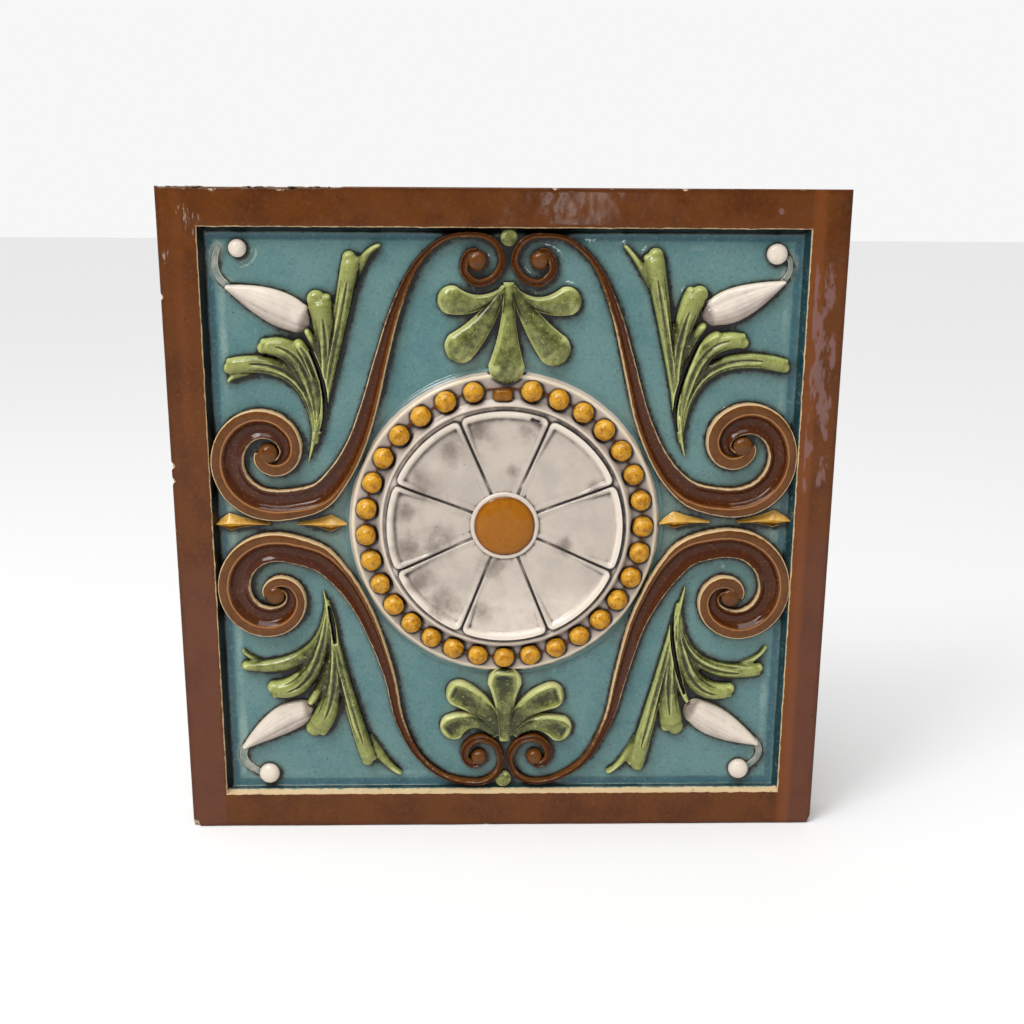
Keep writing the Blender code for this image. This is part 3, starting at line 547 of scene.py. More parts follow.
def points_of(piece: Piece) -> Array:
    """Give a piece's points, shaped (points, 3)."""
    flat = np.empty(len(piece.data.vertices) * 3)
    piece.data.vertices.foreach_get("co", flat)
    return flat.reshape(-1, 3)


def move_points(piece: Piece, points: Array) -> None:
    """Give a piece new places for its points."""
    piece.data.vertices.foreach_set("co", points.reshape(-1))
    piece.data.update()


def edges_of(piece: Piece) -> Array:
    """Give the pairs of points that a piece's edges join."""
    flat = np.empty(len(piece.data.edges) * 2, dtype=np.int64)
    piece.data.edges.foreach_get("vertices", flat)
    return flat.reshape(-1, 2)


def softened(points: Array, edges: Array, rounds: int) -> Array:
    """Move each point half way to the middle of its neighbours, several times.

    Args:
        points: The points.
        edges: The pairs that are neighbours.
        rounds: How often they are moved.

    Returns:
        The new points.
    """
    ends = np.concatenate([edges[:, 0], edges[:, 1]])
    others = np.concatenate([edges[:, 1], edges[:, 0]])
    count = np.maximum(np.bincount(ends, minlength=len(points)), 1)
    soft = points.copy()
    for _ in range(rounds):
        for axis in range(3):
            total = np.bincount(ends, weights=soft[others, axis], minlength=len(points))
            soft[:, axis] += 0.5 * (total / count - soft[:, axis])
    return soft


def settle(piece: Piece, modifier: bpy.types.Modifier) -> None:
    """Make what a modifier gives the piece's own mesh, and take the modifier away.

    Args:
        piece: The piece, whose mesh is replaced.
        modifier: The modifier.
    """
    made = bpy.data.meshes.new_from_object(piece.evaluated_get(bpy.context.evaluated_depsgraph_get()))
    piece.modifiers.remove(modifier)
    loose = piece.data
    piece.data = made
    bpy.data.meshes.remove(loose)
    made.name = piece.name


def fuse(piece: Piece, grain: float, rounds: int) -> None:
    """Join a piece's overlapping bodies under one skin, and soften it as a glaze does.

    Args:
        piece: The piece.
        grain: The size of the skin's faces, in metres.
        rounds: How often the skin is softened.
    """
    remesh = piece.modifiers.new("fuse", "REMESH")
    remesh.mode = "VOXEL"
    remesh.voxel_size = grain
    settle(piece, remesh)
    move_points(piece, softened(points_of(piece), edges_of(piece), rounds))
    piece.data.shade_smooth()


class ReliefMap:
    """How high the carving stands over each small square of the tile's front."""

    # How far around is looked, how far that is shifted, and the depths of full marks, in metres.
    CLOSE_REACH = 0.0016
    # The shift puts the hollow mark's painted shade below and right of each form, where its shadow falls.
    CLOSE_SHIFT = 0.0003
    WIDE_REACH = 0.0045
    FULL_HOLLOW = 0.0013
    FULL_CREST = 0.0009
    FULL_LOW = 0.0030
    FULL_TURN = 0.00022
    TURN_ROUNDS = 12
    LEAST_HEIGHT = 0.0003

    def __init__(self, gauge: Gauge, cell: float = 0.0004) -> None:
        """Start with a bare ground.

        Args:
            gauge: The tile's measures.
            cell: A square's side, in metres.
        """
        self.gauge = gauge
        self.cell = cell
        self.count = int(math.ceil(gauge.side / cell)) + 1
        self.heights = np.zeros((self.count, self.count))
        self.blurs: dict[tuple[str, float], Array] = {}

    def press(self, piece: Piece) -> None:
        """Raise the map to the height of a piece."""
        points = points_of(piece)
        edges = edges_of(piece)
        samples = np.concatenate([points, (points[edges[:, 0]] + points[edges[:, 1]]) / 2])
        across, up = ((samples[:, axis] + self.gauge.side / 2) / self.cell for axis in (0, 2))
        column = np.clip(np.rint(across).astype(int), 0, self.count - 1)
        row = np.clip(np.rint(up).astype(int), 0, self.count - 1)
        np.maximum.at(self.heights, (row, column), -samples[:, 1] - self.gauge.body)

    def close_gaps(self) -> None:
        """Fill squares that no sample fell in, from those around them."""
        grown = self.heights.copy()
        for axis in (0, 1):
            grown = np.maximum(grown, np.maximum(np.roll(grown, 1, axis), np.roll(grown, -1, axis)))
        for axis in (0, 1):
            grown = np.minimum(grown, np.minimum(np.roll(grown, 1, axis), np.roll(grown, -1, axis)))
        self.heights = np.maximum(self.heights, grown)

    def blurred(self, kind: str, radius: float) -> Array:
        """Spread the heights, or the forms' footprint, over their surroundings.

        Args:
            kind: "heights" or "footprint".
            radius: About how far it is spread, in metres.

        Returns:
            The blurred map.
        """
        if (kind, radius) not in self.blurs:
            footprint = (self.heights > self.LEAST_HEIGHT).astype(float)
            blurred = self.heights if kind == "heights" else footprint
            half = max(int(round(radius / self.cell * 0.6)), 1)
            for axis in (0, 1, 0, 1, 0, 1):
                padding = [(0, 0), (0, 0)]
                padding[axis] = (half + 1, half)
                sums = np.cumsum(np.pad(blurred, padding, mode="edge"), axis=axis)
                upper = np.take(sums, range(2 * half + 1, sums.shape[axis]), axis=axis)
                lower = np.take(sums, range(0, sums.shape[axis] - 2 * half - 1), axis=axis)
                blurred = (upper - lower) / (2 * half + 1)
            self.blurs[(kind, radius)] = blurred
        return self.blurs[(kind, radius)]

    def read(self, kind: str, radius: float, points: Array, shift: float = 0.0) -> Array:
        """Read a blurred map under points.

        Args:
            kind: "heights" or "footprint".
            radius: How far the map is spread, in metres.
            points: Points in metres, with the coordinates along the last axis.
            shift: How far the map is moved down and to the right first, in metres.

        Returns:
            One value for each point.
        """
        spread = self.blurred(kind, radius)
        half = self.gauge.side / 2
        across = np.clip((points[..., 0] - shift + half) / self.cell, 0, self.count - 1.001)
        up = np.clip((points[..., 2] + shift + half) / self.cell, 0, self.count - 1.001)
        column, row = across.astype(int), up.astype(int)
        right, above = across - column, up - row
        lower = spread[row, column] * (1 - right) + spread[row, column + 1] * right
        upper = spread[row + 1, column] * (1 - right) + spread[row + 1, column + 1] * right
        return lower * (1 - above) + upper * above

    def mark(self, piece: Piece) -> None:
        """Mark where a piece lies below or above what is around it, and where it turns out or in."""
        points = points_of(piece)
        height = -points[:, 1] - self.gauge.body
        # The glazes paint hollow as shade and grime in crevices, crest as paler tops, partly painted
        # highlight, and crease as painted shade in creases.
        close = self.read("heights", self.CLOSE_REACH, points, self.CLOSE_SHIFT) - height
        wide = self.read("heights", self.WIDE_REACH, points) - height
        normals = np.empty(len(points) * 3)
        piece.data.vertices.foreach_get("normal", normals)
        lift = points - softened(points, edges_of(piece), self.TURN_ROUNDS)
        turn = np.einsum("ij,ij->i", lift, normals.reshape(-1, 3)) / self.FULL_TURN
        low = np.clip(wide / self.FULL_LOW, -1, 1) * 0.5 + 0.5
        shares = {"hollow": close / self.FULL_HOLLOW, "crest": -close / self.FULL_CREST, "low": low,
                  "ridge": turn, "crease": -turn}
        for name, share in shares.items():
            set_mark(piece, name, np.clip(share, 0, 1))


class Value:
    """A number that runs through a material's nodes, on which Python's operators work."""

    def __init__(self, recipe: "Recipe", socket: Socket) -> None:
        """Wrap a socket of a recipe's node."""
        self.recipe = recipe
        self.socket = socket

    def __add__(self, other: "Value | float") -> "Value":
        """Add."""
        return self.recipe.maths("ADD", self, other)

    def __sub__(self, other: "Value | float") -> "Value":
        """Take away."""
        return self.recipe.maths("SUBTRACT", self, other)

    def __rsub__(self, other: float) -> "Value":
        """Take this from a number."""
        return self.recipe.maths("SUBTRACT", other, self)

    def __mul__(self, other: "Value | float") -> "Value":
        """Multiply."""
        return self.recipe.maths("MULTIPLY", self, other)

    __radd__ = __add__
    __rmul__ = __mul__

    def rise(self, low: float, high: float) -> "Value":
        """Rise smoothly from 0 at one value to 1 at another.

        Args:
            low: Where the rise starts.
            high: Where it ends.

        Returns:
            A value from 0 to 1.
        """
        settings = {"interpolation_type": "SMOOTHSTEP"}
        sockets = {"Value": self, "From Min": low, "From Max": high}
        return Value(self.recipe, self.recipe.node("ShaderNodeMapRange", settings, sockets).outputs["Result"])


Input = "Value | Socket | float | tuple[float, ...]"


class NodeWork:
    """Adds nodes to a tree and connects them."""

    def __init__(self, tree: bpy.types.NodeTree) -> None:
        """Work on a tree."""
        self.tree = tree

    def node(self, kind: str, settings: dict[str, object] | None = None,
             sockets: "dict[str, Input] | None" = None) -> bpy.types.Node:
        """Add a node.

        Args:
            kind: The node's type.
            settings: Its settings by name, set first.
            sockets: Values or links for its inputs, by identifier or name.

        Returns:
            The node.
        """
        node = self.tree.nodes.new(kind)
        for name, value in (settings or {}).items():
            setattr(node, name, value)
        for name, value in (sockets or {}).items():
            matching = [socket for socket in node.inputs if socket.identifier == name]
            self.connect(matching[0] if matching else node.inputs[name], value)
        return node

    def connect(self, socket: Socket, value: "Input") -> None:
        """Link a value to a socket, or set the socket to it."""
        if isinstance(value, Value):
            value = value.socket
        if isinstance(value, Socket):
            self.tree.links.new(value, socket)
        elif isinstance(value, tuple) and socket.type == "RGBA":
            socket.default_value = (*value[:3], 1.0)
        else:
            socket.default_value = value

    @staticmethod
    def output(node: bpy.types.Node, identifier: str) -> Socket:
        """Find a node's output where several share a name."""
        return next(socket for socket in node.outputs if socket.identifier == identifier)


class Recipe(NodeWork):
    """Builds one procedural material, node by node."""

    def __init__(self, name: str) -> None:
        """Start a material with its shader and its place on the object."""
        self.material = bpy.data.materials.new(name)
        self.material.use_nodes = True
        super().__init__(self.material.node_tree)
        self.shader = self.tree.nodes["Principled BSDF"]
        self.position = self.node("ShaderNodeTexCoord").outputs["Object"]
        self.noises: dict[tuple[float, Spot], Value] = {}

    def maths(self, operation: str, first: "Value | float", second: "Value | float") -> Value:
        """Add a Math node and give its result."""
        sockets = {"Value": first, "Value_001": second}
        return Value(self, self.node("ShaderNodeMath", {"operation": operation}, sockets).outputs[0])

    def mark(self, name: str) -> Value:
        """Read a mark of the piece."""
        return Value(self, self.node("ShaderNodeAttribute", {"attribute_name": name}).outputs["Fac"])

    def noise(self, size: float, stretch: Spot = (1.0, 1.0, 1.0)) -> Value:
        """Give noise about 0.5.

        Args:
            size: About how large its blotches are, in metres.
            stretch: Makes it finer along an axis where above 1.

        Returns:
            The noise.
        """
        if (size, stretch) not in self.noises:
            spread = self.node("ShaderNodeMapping", {}, {"Vector": self.position, "Scale": stretch})
            sockets = {"Vector": spread.outputs["Vector"], "Scale": 1 / size, "Detail": 3.0, "Roughness": 0.6}
            noise = self.node("ShaderNodeTexNoise", {}, sockets)
            self.noises[(size, stretch)] = Value(self, noise.outputs["Fac"])
        return self.noises[(size, stretch)]

    def specks(self, spacing: float, size: float, share: float) -> Value:
        """Scatter small round specks.

        Args:
            spacing: About how far apart they could lie, in metres.
            size: A speck's radius, as a share of the spacing.
            share: Which share of the places has one.

        Returns:
            1 in a speck and 0 beside it.
        """
        cells = self.node("ShaderNodeTexVoronoi", {}, {"Vector": self.position, "Scale": 1 / spacing})
        chance = self.node("ShaderNodeSeparateColor", {}, {"Color": cells.outputs["Color"]})
        chosen = Value(self, chance.outputs["Red"]).rise(1 - share, 1 - share + 0.02)
        return chosen * (1 - Value(self, cells.outputs["Distance"]).rise(size * 0.5, size))

    def blend(self, share: "Value | float", below: "Input", above: "Input") -> Socket:
        """Mix two colours, from the one below at 0 to the one above at 1."""
        sockets = {"Factor_Float": share, "A_Color": below, "B_Color": above}
        node = self.node("ShaderNodeMix", {"data_type": "RGBA", "clamp_factor": True}, sockets)
        return self.output(node, "Result_Color")

    def finish(self, colour: "Input", roughness: "Value | float", relief: Value,
               depth: float) -> Material:
        """Connect what was made to the shader.

        Args:
            colour: The surface's colour.
            roughness: Its roughness.
            relief: Its fine unevenness, 0 to 1.
            depth: How deep that is, in metres.

        Returns:
            The material.
        """
        self.connect(self.shader.inputs["Base Color"], colour)
        self.connect(self.shader.inputs["Roughness"], roughness)
        bump = self.node("ShaderNodeBump", {}, {"Height": relief, "Distance": depth, "Strength": 1.0})
        self.connect(self.shader.inputs["Normal"], bump.outputs["Normal"])
        self.shader.inputs["IOR"].default_value = GLAZE_IOR
        return self.material


@dataclass(frozen=True)
class Coat:
    """A colour over a glaze, wherever a mark broken up by noise, or noise alone, rises high enough."""

    colour: Colour
    mark: str = ""
    low: float = 0.4
    high: float = 0.8
    strength: float = 0.8
    ragged: float = 0.6
    grain: float = 0.0035
    stretch: Spot = (1.0, 1.0, 1.0)
    dull: float = 0.0

    def share(self, recipe: Recipe) -> Value:
        """Say how much of the coat covers each place."""
        level = recipe.noise(self.grain, self.stretch)
        if self.mark:
            level = recipe.mark(self.mark) + (level - 0.5) * self.ragged
        return level.rise(self.low, self.high) * self.strength


@dataclass(frozen=True)
class Glaze:
    """A finish: its slot, body, coats, pinholes, gloss and fine unevenness.

    Its colours, like the coats', are red, green and blue as a photograph shows them, 0 to 255.
    """

    name: str
    slot: Slot
    body: Colour
    coats: tuple[Coat, ...]
    hole: Colour = (22, 18, 15)
    holes: tuple[float, float, float] = (0.0045, 0.10, 0.25)
    hole_strength: float = 0.85
    hole_depth: float = 0.3
    roughness: float = 0.09
    roughness_spread: float = 0.05
    swell: float = 0.009
    grain: float = 0.0012
    depth: float = 0.00012
    grit: float = 0.12
    gloss: float = 0.5

    def dress(self) -> Material:
        """Make the material."""
        recipe = Recipe(self.name)
        colour: "Input" = seen(*self.body)
        swell = recipe.noise(self.swell)
        roughness = swell * self.roughness_spread + (self.roughness - self.roughness_spread / 2)
        for coat in self.coats:
            share = coat.share(recipe)
            colour = recipe.blend(share, colour, seen(*coat.colour))
            if coat.dull:
                roughness = roughness + share * coat.dull
        pits = recipe.specks(*self.holes) * self.hole_strength
        colour = recipe.blend(pits, colour, seen(*self.hole))
        relief = swell * (1 - self.grit) + recipe.noise(self.grain) * self.grit - pits * self.hole_depth
        recipe.shader.inputs["Specular IOR Level"].default_value = self.gloss
        return recipe.finish(colour, roughness, relief, self.depth)


CREAM = (228, 206, 170)
# Near-black, painted as shade in crevices, slits and at the forms' feet, and as grime and the dark flake.
SHADE_AND_GRIME = (18, 16, 13)

BORDER_BROWN = Glaze("border_brown_glaze", Slot.BROWN, (130, 84, 36), (
    Coat((108, 66, 28), "", 0.40, 0.70, 0.75, grain=0.020),
    Coat((152, 104, 56), "", 0.50, 0.80, 0.5, grain=0.0016),
    Coat((86, 50, 22), "", 0.55, 0.80, 0.4, grain=0.0011),
    # Painted reflection: a mauve sheen low on the side bars.
    Coat((132, 92, 78), "painted_reflection", 0.35, 1.10, 0.6, 0.8, 0.024),
    Coat((160, 104, 56), "warm", 0.30, 1.00, 0.5, 0.6, 0.010),
    Coat((84, 48, 26), "edge", 0.25, 0.95, 0.75, 0.4, 0.008),
    # Mauve-grey patches on the right bar: partly wear, partly painted reflection.
    Coat((160, 132, 130), "wear_and_reflection", 0.50, 0.57, 0.62, 1.0, 0.011, (1.6, 1.0, 0.55)),
    Coat((196, 184, 178), "scratch", 0.56, 0.66, 0.6, 1.0, 0.003, (2.4, 1.0, 0.5)),
    Coat(CREAM, "arris", 0.52, 0.80, 0.85, 0.9, 0.0028),
    Coat((204, 186, 158), "chip", 0.40, 0.52, 1.0, 0.8, 0.0022, dull=0.5)),
    roughness=0.12, swell=0.022, gloss=0.30)

SCROLL_BROWN = Glaze("scroll_brown_glaze", Slot.BROWN, (134, 94, 50), (
    Coat((114, 74, 36), "", 0.36, 0.72, 0.7, grain=0.010),
    Coat((102, 58, 18), "channel", 0.35, 0.70, 0.92, 0.15, 0.006),
    # Painted reflection: a mauve sheen on the channel's inner side.
    Coat((106, 72, 62), "mauve_reflection", 0.35, 0.85, 0.55, 0.5, 0.007),
    Coat((178, 124, 76), "", 0.52, 0.78, 0.35, grain=0.0014),
    Coat((74, 38, 18), "", 0.54, 0.80, 0.4, grain=0.001),
    Coat((196, 150, 104), "ridge_line", 0.35, 0.90, 0.75, 0.5, 0.004),
    Coat(SHADE_AND_GRIME, "hollow", 0.34, 0.78, 0.92, 0.5, 0.003, dull=0.25),
    Coat(CREAM, "arris", 0.42, 0.85, 0.85, 0.9, 0.0026)),
    roughness=0.08, gloss=0.34)

GROUND_TEAL = Glaze("ground_teal_glaze", Slot.TEAL, (128, 161, 160), (
    Coat((106, 147, 151), "", 0.38, 0.72, 0.7, grain=0.024),
    Coat((142, 156, 146), "around", 0.25, 0.85, 0.65, 0.5, 0.010),
    Coat((52, 108, 124), "pool", 0.35, 1.0, 0.75, 0.5, 0.007),
    Coat((176, 196, 190), "streak", 0.60, 1.15, 0.55, 0.9, 0.012),
    Coat((34, 82, 94), "wall", 0.30, 0.80, 0.95, 0.3, 0.006),
    Coat((200, 206, 196), "haze", 0.40, 1.10, 0.7, 0.8, 0.004),
    Coat((84, 104, 104), "", 0.50, 0.78, 0.45, grain=0.0013),
    Coat((164, 188, 186), "", 0.52, 0.80, 0.35, grain=0.0018),
    # Grime and painted shadow at the forms' feet, and painted shade on the left and top walls.
    Coat((84, 88, 76), "near", 0.02, 0.55, 0.75, 0.45, 0.006),
    Coat(SHADE_AND_GRIME, "near", 0.36, 0.66, 0.97, 0.95, 0.0022, dull=0.25),
    Coat(CREAM, "lip", 0.50, 0.80, 0.9, 0.8, 0.0028)),
    holes=(0.005, 0.08, 0.3), roughness=0.07)

LEAF_GREEN = Glaze("leaf_green_glaze", Slot.GREEN, (158, 161, 106), (
    Coat((122, 126, 70), "", 0.42, 0.66, 0.75, grain=0.0042),
    Coat((76, 80, 36), "low", 0.22, 0.54, 0.94, 0.5, 0.003),
    Coat((178, 182, 120), "tip", 0.25, 0.90, 0.60, 0.5, 0.004),
    # Paler crests: partly thinner glaze, partly painted highlight.
    Coat((196, 202, 142), "crest", 0.45, 1.15, 0.8, 0.7, 0.003),
    Coat((60, 68, 24), "", 0.55, 0.74, 0.55, grain=0.0012),
    Coat((204, 214, 150), "", 0.56, 0.76, 0.45, grain=0.0017),
    Coat((58, 64, 26), "crease", 0.20, 0.85, 0.85, 0.5, 0.002),
    Coat((218, 220, 164), "ridge", 0.40, 1.05, 0.65, 0.6, 0.0022),
    Coat(SHADE_AND_GRIME, "hollow", 0.30, 0.74, 0.95, 0.7, 0.0024, dull=0.25),
    # Painted shade in the leaf's slit.
    Coat(SHADE_AND_GRIME, "slit", 0.30, 0.60, 1.0, 0.2, 0.002),
    Coat((226, 222, 176), "arris", 0.34, 0.80, 0.75, 0.8, 0.0024)),
    holes=(0.0032, 0.14, 0.4), roughness=0.08)

ROSETTE_WHITE = Glaze("rosette_white_glaze", Slot.WHITE, (214, 204, 194), (
    Coat((198, 189, 180), "", 0.36, 0.70, 0.7, grain=0.012),
    Coat((176, 160, 152), "shelf", 0.25, 0.85, 0.75, 0.5, 0.006),
    Coat((176, 158, 152), "shade", 0.35, 0.90, 0.7, 0.5, 0.006),
    Coat((242, 232, 220), "pale_and_lit", 0.30, 0.90, 0.85, 0.4, 0.005),
    Coat((156, 142, 132), "soot", 0.10, 0.85, 0.60, 1.1, 0.009),
    Coat((118, 104, 96), "soot", 0.40, 0.95, 0.50, 1.3, 0.006, dull=0.2),
    Coat(SHADE_AND_GRIME, "flake", 0.40, 0.60, 0.95, 0.5, 0.002, dull=0.4),
    Coat((110, 96, 90), "hollow", 0.06, 0.48, 0.75, 0.4, 0.004),
    Coat(SHADE_AND_GRIME, "hollow", 0.30, 0.78, 0.92, 0.55, 0.0028, dull=0.25),
    Coat((120, 152, 152), "fade", 0.35, 0.75, 0.95, 0.5, 0.004),
    Coat((240, 228, 204), "arris", 0.42, 0.85, 0.75, 0.8, 0.0028)),
    holes=(0.006, 0.07, 0.25), roughness=0.06)

BEAD_OCHRE = Glaze("bead_ochre_glaze", Slot.OCHRE, (220, 174, 68), (
    Coat((178, 128, 38), "", 0.42, 0.66, 0.8, grain=0.0034),
    # Painted highlight on the beads' tops.
    Coat((242, 210, 124), "crest", 0.55, 1.2, 0.5, 0.8, 0.003),
    Coat((116, 74, 20), "", 0.54, 0.72, 0.7, grain=0.0014),
    Coat((178, 122, 8), "plain", 0.3, 0.7, 0.92, 0.1, 0.005),
    Coat((136, 82, 14), "rim_dark", 0.35, 0.95, 0.75, 0.5, 0.004),
    Coat((112, 64, 10), "shade", 0.25, 0.55, 0.85, 0.3, 0.003),
    # Paler colour, on the darts' upper facets painted as light.
    Coat((246, 218, 150), "pale_and_lit", 0.30, 0.90, 0.7, 0.6, 0.004),
    Coat((96, 60, 18), "hollow", 0.10, 0.45, 0.75, 0.4, 0.003),
    Coat(SHADE_AND_GRIME, "hollow", 0.28, 0.66, 0.95, 0.45, 0.0026, dull=0.25),
    Coat((240, 214, 150), "arris", 0.40, 0.90, 0.8, 0.7, 0.003)),
    hole=(66, 38, 12), holes=(0.0021, 0.15, 0.3), roughness=0.07, gloss=0.36)

BARE_CLAY = Glaze("bare_buff_clay", Slot.CLAY, (178, 154, 124), (
    Coat((142, 116, 88), "", 0.35, 0.70, 0.8, grain=0.030),
    Coat((120, 98, 76), "", 0.52, 0.76, 0.5, grain=0.0016),
    Coat((190, 180, 162), "", 0.54, 0.68, 0.50, grain=0.036),
    Coat((110, 92, 74), "groove", 0.3, 1.0, 0.45, 0.5, 0.006)),
    hole=(70, 54, 40), holes=(0.004, 0.12, 0.4), roughness=0.85, swell=0.006, depth=0.0005, grit=0.5)

OLD_MORTAR = Glaze("old_mortar", Slot.CLAY, (170, 158, 142), (
    Coat((112, 98, 84), "", 0.46, 0.64, 0.8, grain=0.003),
    Coat((206, 198, 184), "", 0.60, 0.72, 0.8, grain=0.0018)),
    roughness=0.9, swell=0.002, depth=0.0004, grit=0.5)

GLAZES = (BORDER_BROWN, SCROLL_BROWN, GROUND_TEAL, LEAF_GREEN, ROSETTE_WHITE, BEAD_OCHRE, BARE_CLAY,
          OLD_MORTAR)


def hand_over(piece: Piece, slot: Slot, material: Material) -> None:
    """Give a finished piece its material and its body, hide the node it stands for, and log its slot.

    Args:
        piece: The piece.
        slot: The record's slot that its finish belongs to.
        material: Its material.
    """
    piece.data.materials.clear()
    piece.data.materials.append(material)
    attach(piece, BODY)
    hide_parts(NODE)
    piece.data.calc_loop_triangles()
    LOG.info("%s: %d triangles, %s", piece.name, len(piece.data.loop_triangles), slot.value)


def edge_wear(x: Array) -> Array:
    """Say how far the top edge is worn down, in metres, most of all under the old mortar.

    Args:
        x: Places to the right, in metres.

    Returns:
        The wear at each place.
    """
    mortared = ease(x, -0.1500, -0.1475) * (1 - ease(x, -0.0740, -0.0690))
    ragged = Ripple(25, 0.004).at(np.stack([x, 0 * x, 0 * x], axis=-1))
    return 0.00012 + mortared * (0.00083 + 0.0003 * ragged)


@dataclass
class TileBody:
    """The unglazed body behind the glaze, with its keyed back."""

    gauge: Gauge
    side_inset: float = 0.00020
    groove_count: int = 6
    groove_width: float = 0.0120
    groove_depth: float = 0.0020
    groove_margin: float = 0.0220
    groove_slope: float = 0.0006
    front_cover: float = 0.0008
    edge_loss: float = 0.0008
    steps: int = 150

    def grooves(self) -> list[float]:
        """Give the height of each key groove's middle."""
        pitch = (self.gauge.side - 2 * self.groove_margin) / self.groove_count
        return [(index - (self.groove_count - 1) / 2) * pitch for index in range(self.groove_count)]

    def groove_share(self, across: Array, up: Array) -> Array:
        """Give how deep in a key groove each place of the back lies.

        Args:
            across: Places to the right, in metres.
            up: Places up the tile, in metres.

        Returns:
            0 on the lands and 1 on a groove's floor.
        """
        ends = ease(self.gauge.side / 2 - self.groove_margin - np.abs(across), 0.0, self.groove_slope)
        sides = [ease(self.groove_width / 2 - np.abs(up - middle), 0.0, self.groove_slope)
                 for middle in self.grooves()]
        return ends * np.maximum.reduce(sides)

    def stations(self) -> tuple[Array, Array]:
        """Give even stations across and up the back, with more where the grooves' sides fall."""
        half = self.gauge.side / 2 - self.side_inset
        even = np.linspace(-half, half, self.steps)
        cuts = (0.0, self.groove_slope / 2, self.groove_slope)
        reach = self.gauge.side / 2 - self.groove_margin
        ends = [sign * (reach - cut) for sign in (-1, 1) for cut in cuts]
        lip_and_lit_wall = [middle + sign * (self.groove_width / 2 - cut)
                for middle in self.grooves() for sign in (-1, 1) for cut in cuts]
        return tuple(np.unique(np.round(np.concatenate([even, extra]), 6)) for extra in (ends, lip_and_lit_wall))

    def build(self) -> Piece:
        """Make the body: a slab whose rings run round its section, from the bottom edge to the top."""
        half = self.gauge.side / 2 - self.side_inset
        across, up = self.stations()
        rough = Ripple(12, 0.0035)
        front = self.gauge.body - self.front_cover
        column, row = np.meshgrid(across, up)
        flat = np.stack([column, 0 * column, row], axis=-1)
        uneven = 0.00012 * (1 + Ripple(11, 0.012).at(flat)) + 0.00008 * (1 + rough.at(flat))
        rim = np.minimum(half - np.abs(column), half - np.abs(row))
        lost = self.edge_loss * (1 - ease(rim, 0.0, 0.0015)) * (0.6 + 0.4 * rough.at(flat * 1.3))
        groove = self.groove_share(column, row)
        depth = self.groove_depth * groove + np.clip(uneven + lost, 0.0, None)
        back = np.stack([column, -depth, row], axis=-1)
        edges = []
        for end in (1, -1):
            x = np.full(len(up), end * half)
            edges.append(np.stack([x, np.full(len(up), -front), up], axis=-1)[:, None, :])
        rings = beside(back, *edges)
        rings[..., 2] -= ease(rings[..., 2], half - 0.002, half) * edge_wear(rings[..., 0])
        return Sketch("clay_body").add(rings, {"groove": np.pad(groove, ((0, 0), (0, 2)))}).build()


@dataclass(frozen=True)
class Nick:
    """A place where the border's edge is broken: where, how wide and how deep, in metres."""

    x: float
    z: float
    radius: float
    depth: float


